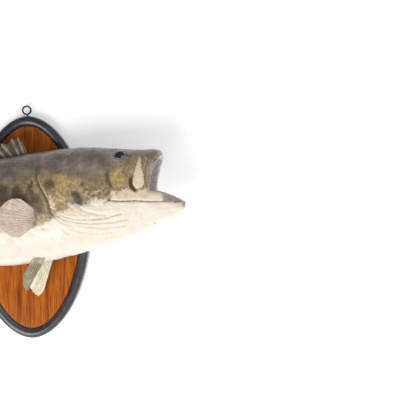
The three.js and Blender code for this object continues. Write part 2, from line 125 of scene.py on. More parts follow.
# How far places in side view lie from a line.
def lineDistance(x, y, line):
    nearest = np.full(np.shape(x), 1e9)
    for (ax, ay), (bx, by) in zip(line[:-1], line[1:]):
        dx, dy = bx - ax, by - ay
        t = np.clip(((x - ax) * dx + (y - ay) * dy) / (dx * dx + dy * dy + 1e-12), 0, 1)
        nearest = np.minimum(nearest, np.hypot(x - ax - t * dx, y - ay - t * dy))
    return nearest


# The same from a closed outline, and less than nothing outside it.
def insideBy(x, y, outline):
    inside = np.zeros(np.shape(x), bool)
    for (ax, ay), (bx, by) in zip(outline, np.roll(outline, -1, axis=0)):
        if ay != by:
            inside ^= ((ay > y) != (by > y)) & (x < (bx - ax) * (y - ay) / (by - ay) + ax)
    closed = np.vstack([outline, outline[:1]])
    distance = lineDistance(x, y, closed)
    return np.where(inside, distance, -distance)


# The fish's midline and sections

midline = {
    "first": -70, "last": 640, "step": 2,
    "start": (197, -82, 61),  # where along is 0
    # along, degrees of climb towards the tail
    "climb": [(0, -9), (110, -9), (190, -7.5), (240, -5), (290, -1), (330, 4), (365, 10),
              (400, 16), (430, 22), (460, 27), (497, 31), (640, 31)],
    # along, degrees that it swings away from the wall
    "swing": [(0, -8), (120, -8), (230, 0), (300, 0), (350, 6), (400, 20), (440, 33),
              (475, 44), (510, 50), (640, 52)],
}

# flank along, top along, top up, flank up, half width, bottom along, bottom up, crown, keel
sections = [
    (14, -6, 42, -6, 31, -29.5, -29.5, 0.6, 1.25), (17, -5.5, 47, -6.3, 33, -28, -36, 0.63, 1.1),
    (24, 0, 50.8, -7, 35, -14, -43.5, 0.68, 0.96), (42, 22, 54, -6, 37, 14, -51.5, 0.72, 0.89),
    (62, 46, 59, -4, 38.5, 42, -61, 0.76, 0.86), (84, 68, 64, -2, 39.5, 72, -68, 0.82, 0.86),
    (112, 103, 71, 0, 41, 106, -74, 0.88, 0.86), (150, 145, 74.2, 1, 42, 148, -79.5, 0.92, 0.86),
    (190, 190, 74.5, 2, 41.5, 190, -82.5, 0.95, 0.86),
    (235, 235, 72.5, 1, 43, 235, -82, 0.97, 0.86),
    (275, 275, 70, 0, 41.5, 275, -79, 0.98, 0.86),
    (300, 300, 67.5, 0, 38, 300, -73.5, 0.98, 0.88),
    (330, 330, 60.5, 0, 33, 330, -61, 0.98, 0.9), (365, 365, 51, 0, 27, 365, -49, 0.98, 0.94),
    (400, 400, 41, 0, 20.5, 400, -40, 1, 0.98), (430, 430, 34, 0, 15.5, 430, -34, 1, 1),
    (460, 460, 29.5, 0, 11, 460, -29.5, 1, 1), (485, 485, 27, 0, 7.5, 485, -27.5, 1, 1),
    (500, 500, 27.5, 0, 5, 500, -28.5, 1, 1),
]
# the hollow of the mouth, from just inside the lips to the throat
mouth = [
    (16, -3, 38, -6, 27.5, -25, -27.5, 0.64, 1.15), (23, 4, 41, -7, 28.5, -12, -34.5, 0.7, 1),
    (37, 22, 43.5, -7, 30, 14, -42, 0.76, 0.95), (57, 46, 44, -6, 30.5, 40, -49, 0.8, 0.95),
    (78, 70, 38, -6, 29, 70, -51, 0.85, 0.95), (100, 98, 24, -8, 23, 98, -44, 0.9, 0.95),
    (122, 122, 6, -11, 14, 122, -28, 0.9, 0.95),
]
mouthEnd = 14  # flank along at the mouth's rim
faceEnd = 45  # where the lean of the rim has died out
sectionAt = tableCurve(sections)
mouthAt = tableCurve(mouth)


def walkMidline():
    along = np.arange(midline["first"], midline["last"] + 1, midline["step"], dtype=float)
    climb = np.radians(tableCurve(midline["climb"])(np.maximum(along, 0))[:, 1])
    swing = np.radians(tableCurve(midline["swing"])(np.maximum(along, 0))[:, 1])
    level = np.stack([-np.cos(swing), -np.sin(swing), 0 * swing], -1)
    upright = np.array([0, 0, 1.0])
    back = level * np.cos(climb)[:, None] + upright * np.sin(climb)[:, None]
    up = -level * np.sin(climb)[:, None] + upright * np.cos(climb)[:, None]
    out = np.stack([np.sin(swing), -np.cos(swing), 0 * swing], -1)
    place = np.vstack([np.zeros(3), np.cumsum((back[1:] + back[:-1]) * midline["step"] / 2, 0)])
    place += np.array(midline["start"]) - place[-midline["first"] // midline["step"]]
    return np.stack([place, back, up, out], 1)


midlineStops = walkMidline()


# Place, back, up and out of the midline at distances along it.
def frameAt(along):
    position = (np.asarray(along, float) - midline["first"]) / midline["step"]
    i = np.clip(np.floor(position).astype(int), 0, len(midlineStops) - 2)
    part = (position - i)[..., None, None]
    mixed = lerp(midlineStops[i], midlineStops[i + 1], part)
    return mixed[..., 0, :], mixed[..., 1, :], mixed[..., 2, :], mixed[..., 3, :]


# The point of the frame, in metres, at places on the fish.
def onFish(along, up, out):
    place, _, upward, outward = frameAt(along)
    return (place + upward * np.asarray(up)[..., None] + outward * np.asarray(out)[..., None]) * mm


# Along, up and out of the body's surface at angles from the right flank over the back.
def sectionPlace(section, angle):
    flank, topAlong, topUp, flankUp, half, bottomAlong, bottomUp, crown, keel = np.moveaxis(
        section, -1, 0)
    rise = np.abs(np.sin(angle))
    upper = np.sin(angle) >= 0
    power = np.where(upper, crown, keel)
    face = 1 - ramp(flank, mouthEnd, faceEnd)
    lean = rise ** (1.4 - 0.42 * face)
    along = lerp(flank, np.where(upper, topAlong, bottomAlong), lean)
    up = lerp(flankUp, np.where(upper, topUp, bottomUp), rise ** power)
    out = np.sign(np.cos(angle)) * half * np.abs(np.cos(angle)) ** power
    return along, up, out


# How far out the surface lies at a place in side view.
def surfaceOut(along, up):
    flank, low, high = float(along), -math.pi / 2, math.pi / 2
    for _ in range(40):
        angle = (low + high) / 2
        at, height, out = sectionPlace(sectionAt(flank), angle)
        flank += along - float(at)
        low, high = (angle, high) if height < up else (low, angle)
    return float(out)


# The plaque's shape

plaque = {
    "halfWidth": 88.5, "halfHeight": 164, "roundness": 1.884, "tilt": math.radians(1.5),
    "rimWidth": 15, "fieldFront": 16.5,
    # the rim's section: distance in from the edge, distance from the wall
    "rimSection": [(0, 0), (0, 9), (0.25, 13), (1.1, 15.8), (2.8, 17.6), (5, 18.6), (7.6, 19),
                   (10.2, 18.6), (12.6, 17.8), (14.2, 17), (15, 15.8), (15, 8), (15, 0)],
    "steps": 288,
}


def ovalPoint(angle, inset, fromWall):
    power = 2 / plaque["roundness"]
    bend = lambda value: np.sign(value) * np.abs(value) ** power
    x = (plaque["halfWidth"] - inset) * bend(np.cos(angle))
    z = (plaque["halfHeight"] - inset) * bend(np.sin(angle))
    cos, sin = math.cos(plaque["tilt"]), math.sin(plaque["tilt"])
    return np.stack([x * cos - z * sin, -fromWall + 0 * x, x * sin + z * cos], -1) * mm


# How far the plaque stands off the wall behind a point, in millimetres.
def plaqueFront(x, z):
    cos, sin = math.cos(plaque["tilt"]), math.sin(plaque["tilt"])
    across, tall = np.abs(x * cos + z * sin) / mm, np.abs(z * cos - x * sin) / mm
    low, high = np.full(np.shape(x), -60.0), np.full(np.shape(x), 80.0)
    for _ in range(24):
        inset = (low + high) / 2
        reach = ((across / (plaque["halfWidth"] - inset)) ** plaque["roundness"]
                 + (tall / (plaque["halfHeight"] - inset)) ** plaque["roundness"])
        low, high = np.where(reach < 1, inset, low), np.where(reach < 1, high, inset)
    section = np.array(plaque["rimSection"][2:-2])
    rim = np.interp(inset, section[:, 0], section[:, 1])
    front = np.where(inset > plaque["rimWidth"], plaque["fieldFront"], rim)
    return np.where(inset < 0, 0, front)


# The skin's relief

eye = {
    "along": 48.5, "up": 50.8, "radius": 9.3, "bulge": 5.4, "sunk": 2.4,
    "faceUp": math.radians(26), "faceForward": math.radians(6),
    "squash": 0.87, "drop": 0.9, "lid": 2.9,
}
gillCover = {
    "outline": [(169.5, 39), (166.5, 26), (161.5, 14), (157, 2), (154.5, -14), (146, -25),
                (133, -34), (116, -42), (100, -46.5), (88, -44), (86, -25), (91, 3), (98, 30),
                (112, 45), (140, 50)],
    "rise": 1.8, "riseFrom": 94, "riseTo": 154, "gapDepth": 0.8, "gapWidth": 2.4,
}
maxilla = {
    "outline": [(19.5, 46), (22.5, 41), (25, 34), (30, 22), (33.5, 12), (34, 5), (29, -1.2),
                (24, -1.5), (19, 3), (17.3, 9), (17.5, 18), (18.3, 27), (18.3, 38)],
    "rise": 1.5, "recess": 2.4,
}
# Creases and ridges of the head in side view: (depth or height, width, points)
headLines = {
    "jawFold": (-1.5, 1.3, [(70, -10.5), (63.7, -12.6), (48.5, -15.5), (34.6, -17.3),
                            (15, -21.4), (1.2, -23.7), (-6, -24.6), (-15, -26.8)]),
    "lipSlit": (-1.6, 1.0, [(-17, -27.2), (-20, -27.4), (-24.5, -27.6)]),
    "jawCorner": (-1.1, 1.4, [(78, -13), (70, -10), (66, -4)]),
    "preopercle": (-1.0, 2.0, [(113, 48), (123, 36), (127, 20), (125, 4), (118, -9),
                               (107, -19), (93, -26), (78, -30)]),
    "crease1": (0.5, 1.3, [(106, 36), (107.5, 24), (111, 12), (116, 5)]),
    "crease2": (0.45, 1.3, [(111, 40), (113.5, 26), (118, 14)]),
    "crease3": (0.35, 1.5, [(118, 42), (120.5, 30), (122, 21)]),
    "opercleRidge": (0.9, 1.2, [(150, 22), (144, 15), (137, 8), (131, 3)]),
    "opercleSeam": (-0.7, 1.3, [(158, 8), (146, 2), (134, -5), (124, -14)]),
    "ray1": (-1.1, 1.2, [(154, -9), (144, -19), (128, -27), (108, -32), (90, -34), (72, -34),
                         (56, -31)]),
    "ray2": (-1.0, 1.2, [(152, -15), (142, -24), (126, -32), (108, -37), (88, -40), (68, -42),
                         (48, -41)]),
    "ray3": (-0.9, 1.2, [(148, -20), (138, -29), (122, -38), (106, -43), (88, -47), (70, -49),
                         (52, -50)]),
    "ray4": (-0.7, 1.3, [(136, -39), (120, -47), (104, -52), (86, -55), (64, -56)]),
    "ray5": (-0.6, 1.3, [(140, -45), (122, -54), (104, -60), (86, -62), (66, -61)]),
    "suborbital": (-0.7, 1.6, [(66, 46), (62, 38), (52, 34), (42, 36), (36, 42)]),
    "cheekFold": (-0.8, 2.2, [(68, 34), (66, 18), (69, 4), (76, -6)]),
    "gular": (-0.9, 1.6, [(-8, -33), (20, -45), (50, -54), (80, -60), (110, -66)]),
    "lipGroove1": (-0.8, 1.0, [(0.5, 47), (7, 40), (13.5, 26), (16, 8), (15, -4)]),
    "lipGroove2": (-0.6, 0.8, [(-3, 46), (3, 40), (10, 24), (12.5, 10), (11, 0)]),
    "supramaxilla": (0.9, 0.8, [(38.6, 22), (39.4, 15), (40, 9), (40.3, 3), (38.5, -2)]),
}
nostrils = [(33, 46.5), (38, 48)]
headLineShapes = {name: smoothLine(points) for name, (_, _, points) in headLines.items()}
gillOutline = smoothLine(gillCover["outline"], closed=True)
maxillaOutline = smoothLine(maxilla["outline"], closed=True)


# Relief of the outside of the head and body, in millimetres outwards.
def outsideRelief(along, up, side):
    relief = 0.35 * softNoise(along, up + 200 * side, 9, 7, 3) * ramp(along, -20, 20)
    relief += 0.22 * softNoise(along, up + 90 * side, 3.2, 3.0, 5)
    jaw = ramp(-up, 8, 20) * (1 - ramp(along, 60, 90))
    relief += 0.3 * jaw * softNoise(along, up, 26, 2.2, 7)
    cheek = ramp(along, 68, 76) * (1 - ramp(along, 98, 106)) * bump(up - 3, 8)
    relief += 0.8 * cheek * softNoise(along, up, 3.4, 2.6, 9)
    for name, (height, width, _) in headLines.items():
        relief += height * bump(lineDistance(along, up, headLineShapes[name]), width)
    # the gill cover stands off the shoulder, over a dark gap
    cover = insideBy(along, up, gillOutline)
    stand = gillCover["rise"] * ramp(along, gillCover["riseFrom"], gillCover["riseTo"])
    relief += stand * ramp(cover, -1.1, 0.7) * (1 - ramp(up, 26, 42))
    behind = ramp(along, 96, 130) * ramp(-cover, 0.2, 1.2) * (1 - ramp(-cover, 1.5, 1.5 + gillCover["gapWidth"]))
    relief -= gillCover["gapDepth"] * behind * ramp(48 - up, 0, 8)
    # the maxilla is a plate over a recess
    plate = insideBy(along, up, maxillaOutline)
    relief += maxilla["rise"] * ramp(plate, -1.3, 1.3)
    hollow = bump(-plate - 2.2, 2.1) * (plate < 0) * ramp(along, 27, 34) * (1 - ramp(up, 12, 25))
    relief -= maxilla["recess"] * hollow
    for nostrilAlong, nostrilUp in nostrils:
        distance = np.hypot(along - nostrilAlong, up - nostrilUp)
        relief += 0.5 * bump(distance - 1.9, 0.7) - 1.6 * bump(distance, 1.1)
    return relief


# Relief of the mouth's lining: folds of the palate, and gill arches at the sides.
def insideRelief(along, up, out):
    relief = 0.5 * softNoise(along, up, 10, 5, 21) + 0.3 * softNoise(along, out, 3.4, 3, 22)
    roof = ramp(up, 10, 26)
    relief += 0.6 * roof * np.cos(out * 0.55)
    arches = ramp(along, 62, 74) * (1 - ramp(along, 112, 120)) * (1 - roof)
    relief += 2.0 * arches * np.cos((along - 0.35 * np.abs(up + 6)) * 2 * math.pi / 11)
    return relief


def eyeBasis(side):
    place, back, up, out = (v for v in frameAt(eye["along"]))
    faceOut = (side * math.cos(eye["faceUp"]) * out + math.sin(eye["faceUp"]) * up
               - math.sin(eye["faceForward"]) * back)
    faceOut /= np.linalg.norm(faceOut)
    across = np.cross(up, faceOut)
    across /= np.linalg.norm(across)
    tall = np.cross(faceOut, across)
    surface = onFish(eye["along"], eye["up"], side * surfaceOut(eye["along"], eye["up"]))
    centre = surface - (faceOut * eye["sunk"] + tall * eye["drop"]) * mm
    return centre, across, faceOut, tall


# Markings

# Dark blotches along the flank: along, up, half length, half height
blotches = [
    (203, 14, 8, 17), (224, 15, 8, 16), (246, 13, 8, 15), (267, 17, 8, 14), (268, -10, 6, 8),
    (290, 8, 7, 19), (316, 11, 8.5, 12), (317, -7, 5, 8), (343, 12, 7, 15), (366, 9, 7, 13),
    (386, 7, 7, 11), (406, 5, 7, 10), (432, 5, 8, 9), (460, 4, 8, 8), (487, 3, 11, 11),
]
# Dark marks of the head and shoulder, with painted shade just above the pectoral fin's root (the two near 172
# and 176 along): along, up, half length, half height, strength
headDarksAndShade = [
    (66, 18, 3.6, 12, 0.8), (71, -10, 4, 4, 0.7), (114, -3, 5.5, 10, 1.0), (104, 18, 3.4, 5, 0.7),
    (98, 10, 2.5, 3, 0.5), (152, 25, 9, 9, 0.75), (140, 38, 10, 5, 0.5), (176, 4, 9, 14, 0.75),
    (172, -8, 6, 8, 0.6), (192, -2, 14, 7, 0.5), (96, 0, 2, 4, 0.5), (84, 8, 9, 1.6, 0.5),
    (86, -5, 9, 1.4, 0.5), (118, -9, 5, 3, 0.6), (17.3, -48.7, 1.6, 1.2, 0.6), (48.8, -62, 2, 1, 0.4),
]
headGolds = [
    (136, 22, 14, 14, 0.9), (142, 2, 12, 7, 0.8), (112, 22, 9, 14, 0.6), (52, 16, 9, 15, 0.8),
    (80, -10, 8, 5, 0.55), (170, -22, 9, 9, 0.9), (60, 28, 6, 8, 0.4), (90, 26, 12, 12, 0.35),
    (28, 20, 8, 20, 0.25),
]
headPales = [
    (62, -6, 9, 6, 0.8), (30, -10, 34, 7, 0.85), (152, -2, 4, 12, 0.7), (88, 3, 8, 3.5, 0.6),
    (128, -18, 26, 6, 0.6), (100, 5, 3, 4, 0.6),
]
bellyTop = tableCurve([(-40, -9), (10, -4), (50, -5), (80, -8), (110, -10), (135, -12),
                       (158, -24), (180, -30), (230, -29), (270, -20), (300, -13), (340, -6),
                       (370, -2), (420, -1), (470, 0), (510, -4)])
backEdge = tableCurve([(-40, 44), (20, 43), (45, 37), (70, 27), (98, 27), (122, 36), (145, 42),
                       (170, 42),
                       (230, 40), (340, 38), (400, 33), (440, 29), (510, 22)])
# the weight for the dark brown crevice tone is painted shade in creases, recesses and grooves, not a marking
markNames = ("back", "white", "gold", "dark", "creviceShade", "inside", "lip", "cream")


def spots(x, y, table, sharp):
    total = np.zeros(np.shape(x))
    for row in table:
        reach = np.hypot((x - row[0]) / row[2], (y - row[1]) / row[3])
        strength = row[4] if len(row) > 4 else 1
        total = np.maximum(total, strength * (1 - ramp(reach, 1 - sharp, 1 + sharp)))
    return total


# Weights of the skin's colours at places on the outside.
def markings(along, up, side):
    drift = 4.5 * softNoise(along, up + 300 * side, 15, 11, 31)
    ragged = 1.7 * softNoise(along, up + 150 * side, 3.6, 9, 33)
    x = along + 1.6 * softNoise(along, up, 5, 5, 35) + drift * 0.4
    y = up + drift + ragged
    below = bellyTop(along)[..., 1] - y
    above = y - backEdge(along)[..., 1]
    marks = {
        "white": ramp(below, -10, 9),
        "back": ramp(above, -15, 12),
        "gold": np.maximum(spots(x, y, headGolds, 0.6),
                           ramp(along, 235, 275) * (1 - ramp(along, 350, 420)) * 0.75),
        "inside": np.zeros(np.shape(along)),
    }
    flank = spots(x, y, blotches, 0.38) * ramp(along, 172, 200)
    streaks = softNoise(along, up, 2.1, 12, 37) * 0.5 + 0.5
    front = (1 - ramp(along, 225, 275)) * ramp(along, 168, 180) * ramp(y, -14, 2) * (1 - ramp(y, 26, 44))
    flank = np.maximum(flank * 0.9, front * ramp(streaks, 0.3, 0.7) * 0.95)
    # dark blotches and marks, with the painted shade above the pectoral fin's root
    marks["dark"] = np.maximum(flank, spots(x, y, headDarksAndShade, 0.55))
    # painted shade in crevices: the gap behind the gill cover, the recess behind the maxilla, the folds and
    # grooves of the jaws and throat, and the nostrils
    cover = insideBy(along, up, gillOutline)
    behind = ramp(along, 104, 135) * bump(np.minimum(cover + 2.4, 0) + np.maximum(cover, 0) * 3, 3.0)
    plate = insideBy(along, up, maxillaOutline)
    recess = bump(plate + 2.8, 3.0) * (plate < 0.3) * ramp(along, 27, 34) * (1 - ramp(up, 12, 24))
    creviceShade = np.maximum(0.62 * behind * ramp(52 - up, 0, 10) * (1 - 0.75 * ramp(-up, 16, 30)),
                       recess)
    for name, strength, width in (("jawFold", 0.8, 1.1), ("lipSlit", 0.9, 1.3),
                                  ("lipGroove1", 0.7, 0.9), ("lipGroove2", 0.5, 0.8),
                                  ("jawCorner", 0.6, 1.2), ("ray1", 0.45, 1.0), ("ray2", 0.42, 1.0),
                                  ("ray3", 0.4, 1.0), ("ray4", 0.34, 1.0), ("ray5", 0.32, 1.0),
                                  ("gular", 0.15, 1.0), ("opercleSeam", 0.3, 0.9)):
        near = bump(lineDistance(along, up, headLineShapes[name]), width)
        creviceShade = np.maximum(creviceShade, strength * near)
    for nostrilAlong, nostrilUp in nostrils:
        creviceShade = np.maximum(creviceShade, bump(np.hypot(along - nostrilAlong, up - nostrilUp), 1.3))
    marks["creviceShade"] = creviceShade
    pale = np.maximum(spots(x, y, headPales, 0.5), 0.9 * ramp(plate, -0.9, 1.9) * (1 - ramp(up, 38, 50)))
    edge = bump(cover - 0.9, 1.2) * ramp(along, 120, 140) * ramp(44 - up, 0, 8)
    pale = np.maximum(pale, 0.75 * edge)
    for name, strength in (("crease1", 0.25), ("crease2", 0.2), ("opercleRidge", 0.35),
                           ("supramaxilla", 0.35)):
        near = bump(lineDistance(along, up, headLineShapes[name]), 1.2)
        pale = np.maximum(pale, strength * near)
    marks["cream"] = pale
    tip = (1 - ramp(along, -9, 3)) * ramp(up + 23.5 - 0.19 * along, -0.9, 0.9)
    tip = np.maximum(tip, 1 - ramp(np.hypot(along + 29, (up + 31) * 0.7), 2, 5))
    strip = (1 - ramp(along - 0.12 * np.abs(up - 10), 8, 14)) * ramp(up, -4, 6)
    marks["lip"] = np.maximum(tip, strip * (0.8 - 0.45 * ramp(up, 28, 42)))
    return marks


# The body's grid

skinGrid = {
    "around": 300,
    "tailRows": np.linspace(500, 180, 82, endpoint=False),
    "headRows": np.linspace(180, mouthEnd, 165),
    "mouthRows": np.linspace(16, 122, 42),
    "lipSteps": 6, "lipBulge": 1.8,
    "endSteps": 4, "tailCap": 6,  # how far the end of the tail's stalk rounds off
    "coatDepth": 0.55,  # the scales' depth, left under them
}


# Angles round a section, closer together on the flanks, and on the right one most.
def roundAngles(count):
    turn = np.linspace(-math.pi, math.pi, count + 1)
    even = turn - 0.18 * np.sin(turn)
    return even - 0.14 * np.sin(2 * even)


def surfaceNormals(points):
    acrossStep = np.empty_like(points)
    acrossStep[:, 1:-1] = points[:, 2:] - points[:, :-2]
    acrossStep[:, 0] = acrossStep[:, -1] = points[:, 1] - points[:, -2]
    alongStep = np.gradient(points, axis=0)
    normals = np.cross(alongStep, acrossStep)
    size = np.linalg.norm(normals, axis=-1, keepdims=True)
    return normals / np.maximum(size, 1e-12)


# Where scales grow, from 0 to 1.
def scaled(along, up):
    behindGill = ramp(-insideBy(along, up, gillOutline), 1.0, 4.0) * ramp(along, 150, 158)
    nape = ramp(up, 44, 50) * ramp(along, 104, 116)
    body = ramp(along, 172, 176)
    return np.maximum(np.maximum(behindGill * ramp(up, -40, -34), nape), body)


def bodyGrid():
    angles = roundAngles(skinGrid["around"])
    outer = np.concatenate([skinGrid["tailRows"], skinGrid["headRows"]])
    places, zone = [], []
    lastSection = sectionAt(np.full(len(angles), 500.0))
    endAlong, endUp, endOut = sectionPlace(lastSection, angles)
    for k in range(skinGrid["endSteps"], 0, -1):
        turn = k / skinGrid["endSteps"] * math.pi / 2
        shrink = math.cos(turn) if k < skinGrid["endSteps"] else 0
        places.append((endAlong + skinGrid["tailCap"] * math.sin(turn),
                       endUp * (0.55 + 0.45 * shrink), endOut * shrink))
        zone.append(0)
    for flank in outer:
        places.append(sectionPlace(sectionAt(np.full(len(angles), flank)), angles))
        zone.append(0)
    rim = places[-1]
    inner = sectionPlace(mouthAt(np.full(len(angles), skinGrid["mouthRows"][0])), angles)
    for k in range(1, skinGrid["lipSteps"] + 1):
        turn = k / (skinGrid["lipSteps"] + 1) * math.pi
        ease = (1 - math.cos(turn)) / 2
        along, up, out = (lerp(a, b, ease) for a, b in zip(rim, inner))
        places.append((along - skinGrid["lipBulge"] * math.sin(turn), up, out))
        zone.append(ease)
    for flank in skinGrid["mouthRows"]:
        places.append(sectionPlace(mouthAt(np.full(len(angles), flank)), angles))
        zone.append(1)
    lastAlong, lastUp, lastOut = places[-1]
    middleUp = lastUp.mean()
    for k in range(1, skinGrid["endSteps"] + 1):
        turn = k / skinGrid["endSteps"] * math.pi / 2
        shrink = math.cos(turn) if k < skinGrid["endSteps"] else 0
        places.append((lastAlong + 6 * math.sin(turn), lerp(middleUp, lastUp, shrink),
                       lastOut * shrink))
        zone.append(1)
    along, up, out = (np.array([p[k] for p in places]) for k in range(3))
    zone = np.array(zone, float)[:, None] + 0 * along
    side = np.sign(out)
    points = onFish(along, up, out)
    normals = surfaceNormals(points)
    middle = len(places) // 3
    outward = points[middle] - onFish(along[middle], 0 * up[middle], 0 * out[middle])
    sign = 1 if (normals[middle] * outward).sum() > 0 else -1
    normals = normals * sign
    relief = np.where(zone < 0.5, outsideRelief(along, up, side), insideRelief(along, up, out))
    nearRim = np.abs(zone - 0.5) < 0.49
    relief = np.where(nearRim, 0.15 * softNoise(along, up, 4, 3, 8), relief)
    cover = scaled(along, up) * (zone < 0.1)
    relief -= skinGrid["coatDepth"] * cover
    groove = (bump(out, 4.5) * (up > 0) * (zone < 0.1)
              * ramp(along, 183, 190) * (1 - ramp(along, 386, 393)))
    relief -= 1.5 * groove
    points = points + normals * relief[..., None] * mm
    for eyeSide in (1, -1):
        centre, across, faceOut, tall = eyeBasis(eyeSide)
        offset = (points - centre) / mm
        radius = np.hypot(offset @ across, offset @ tall / eye["squash"])
        near = (zone < 0.1) & (offset @ faceOut > -9) & (radius < 15)
        push = 0.9 * bump(radius - 9.8, 1.5) - 3.6 * (1 - ramp(radius, 7.3, 8.9))
        lid = ramp(offset @ tall / np.maximum(radius, 1), 0.2, 0.8) * ramp(radius, 4.9, 6.4)
        push = lerp(push, eye["lid"], lid * (1 - ramp(radius, 9.5, 14)))
        points = points + np.where(near, push, 0)[..., None] * faceOut * mm
    # the far flank lies flat on the plaque
    front = -(plaqueFront(points[..., 0], points[..., 2]) + 0.3) * mm
    pressed = points[..., 1] > front
    points[..., 1] = np.minimum(points[..., 1], front)
    marks = markings(along, up, side)
    marks["inside"] = ramp(zone, 0.02, 0.4)
    # painted shade in the groove along the back where the dorsal fins stand
    marks["creviceShade"] = np.maximum(marks["creviceShade"], 0.75 * groove)
    return {"points": points, "normals": surfaceNormals(points) * sign,
            "along": along, "up": up, "out": out, "zone": zone, "pressed": pressed,
            "marks": marks, "covered": cover}


# Meshes from sheets

# A closed mesh over rows of points: a sheet is bent to them and its edges are welded.
def sheetMesh(name, points, marks=None, weld=2e-6):
    rows, columns = points.shape[:2]
    sheet = bmesh.new()
    bmesh.ops.create_grid(sheet, x_segments=columns - 1, y_segments=rows - 1, size=0.5)
    layers = {key: sheet.verts.layers.float.new(key) for key in marks or {}}
    for vert in sheet.verts:
        i = round((vert.co.y + 0.5) * (rows - 1))
        j = round((vert.co.x + 0.5) * (columns - 1))
        vert.co = points[i, j]
        for key, layer in layers.items():
            vert[layer] = marks[key][i, j]
    bmesh.ops.remove_doubles(sheet, verts=sheet.verts, dist=weld)
    bmesh.ops.dissolve_degenerate(sheet, edges=sheet.edges, dist=weld / 4)
    bmesh.ops.recalc_face_normals(sheet, faces=sheet.faces)
    return finished(name, sheet)


def finished(name, shape, smooth=True):
    mesh = bpy.data.meshes.new(name)
    shape.to_mesh(mesh)
    shape.free()
    for polygon in mesh.polygons:
        polygon.use_smooth = smooth
    piece = bpy.data.objects.new(name, mesh)
    bpy.context.scene.collection.objects.link(piece)
    return piece


# Columns of a blade: out over one face and back over the other.
def bladeColumns(steps):
    turn = np.linspace(0, 2, 2 * steps + 1)
    across = 1 - np.abs(1 - turn)
    face = np.where(turn < 1, 1.0, -1.0)
    return across, face


def fitPiece(piece, material, slot, *nodes):
    piece.data.materials.append(material)
    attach(piece, "root")
    if nodes:
        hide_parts(*nodes)
    return piece


# Materials

def hexColour(text):
    channels = [int(text[k:k + 2], 16) / 255 for k in (1, 3, 5)]
    return (*[c / 12.92 if c <= 0.04045 else ((c + 0.055) / 1.055) ** 2.4 for c in channels], 1)


# Adds a node with its settings; an input is a value or another node's output.
def addNode(tree, kind, inputs=None, **settings):
    made = tree.nodes.new(kind)
    for name, value in settings.items():
        if name == "stops":
            for k, (position, colour) in enumerate(value):
                stops = made.color_ramp.elements
                stop = stops[k] if k < 2 else stops.new(position)
                stop.position, stop.color = position, colour
        else:
            setattr(made, name, value)
    for key, value in (inputs or {}).items():
        if isinstance(value, bpy.types.NodeSocket):
            tree.links.new(value, made.inputs[key])
        else:
            made.inputs[key].default_value = value
    return made


def newMaterial(name, roughness, **sockets):
    material = bpy.data.materials.new(name)
    material.use_nodes = True
    tree = material.node_tree
    shader = tree.nodes["Principled BSDF"]
    shader.inputs["Roughness"].default_value = roughness
    for key, value in sockets.items():
        shader.inputs[key.replace("_", " ")].default_value = value
    return material, tree, shader


# the dark brown crevice tone, #4a3120, is painted shade
fishColours = {
    "olive": "#76654c", "oliveLight": "#a8946e", "gold": "#98824d", "goldLight": "#c4ad76",
    "back": "#665d55", "backLight": "#918679", "dark": "#433424", "darkLight": "#66523c",
    "white": "#dfd5cb", "whiteWarm": "#dcd0bf", "cream": "#ccb89d", "creamLight": "#e0d0b7",
    "creviceShade": "#4a3120", "lip": "#7c6c5d", "lipLight": "#ad9e8e",
    "lining": "#e9e4e2", "liningDark": "#bfb7b4",
}


# The fish's colours from the weights of its markings and of its painted crevice shade, the same on skin and
# scales.
def fishColour(tree, place):
    hues = {key: hexColour(text) for key, text in fishColours.items()}
    weight = {name: addNode(tree, "ShaderNodeAttribute", attribute_name=name).outputs["Fac"]
              for name in markNames}
    mottle = addNode(tree, "ShaderNodeTexNoise",
                     {"Vector": place, "Scale": 240, "Detail": 4, "Roughness": 0.65})
    broad = addNode(tree, "ShaderNodeTexNoise",
                    {"Vector": place, "Scale": 55, "Detail": 3, "Roughness": 0.6})
    fine = addNode(tree, "ShaderNodeTexNoise",
                   {"Vector": place, "Scale": 620, "Detail": 3, "Roughness": 0.7})
    spread = addNode(tree, "ShaderNodeMapRange",
                     {0: mottle.outputs["Fac"], 1: 0.35, 2: 0.65}).outputs[0]
    wide = addNode(tree, "ShaderNodeMapRange",
                   {0: broad.outputs["Fac"], 1: 0.35, 2: 0.65}).outputs[0]
    colour = addNode(tree, "ShaderNodeMix", {0: spread, 6: hues["olive"], 7: hues["oliveLight"]},
                     data_type="RGBA").outputs[2]
    # the dark brown crevice layer is painted shade, laid over the markings
    layers = (("gold", "gold", "goldLight", spread), ("back", "back", "backLight", wide),
              ("white", "white", "whiteWarm", wide), ("cream", "cream", "creamLight", spread),
              ("lip", "lip", "lipLight", spread), ("dark", "dark", "darkLight", spread),
              ("creviceShade", "creviceShade", "dark", spread), ("inside", "lining", "liningDark", spread))
    grains = addNode(tree, "ShaderNodeMath", {0: fine.outputs["Fac"], 1: mottle.outputs["Fac"]},
                     operation="ADD").outputs[0]
    broken = addNode(tree, "ShaderNodeMath", {0: grains, 1: 1.0}, operation="SUBTRACT").outputs[0]
    for name, first, second, blend in layers:
        tone = addNode(tree, "ShaderNodeMix", {0: blend, 6: hues[first], 7: hues[second]},
                       data_type="RGBA").outputs[2]
        reach = addNode(tree, "ShaderNodeMath", {0: broken, 1: 0.85, 2: weight[name]},
                        operation="MULTIPLY_ADD").outputs[0]
        amount = addNode(tree, "ShaderNodeMapRange",
                         {0: reach, 1: 0.24, 2: 0.82}).outputs[0]
        colour = addNode(tree, "ShaderNodeMix", {0: amount, 6: colour, 7: tone},
                         data_type="RGBA").outputs[2]
    return colour, spread, fine.outputs["Fac"], weight


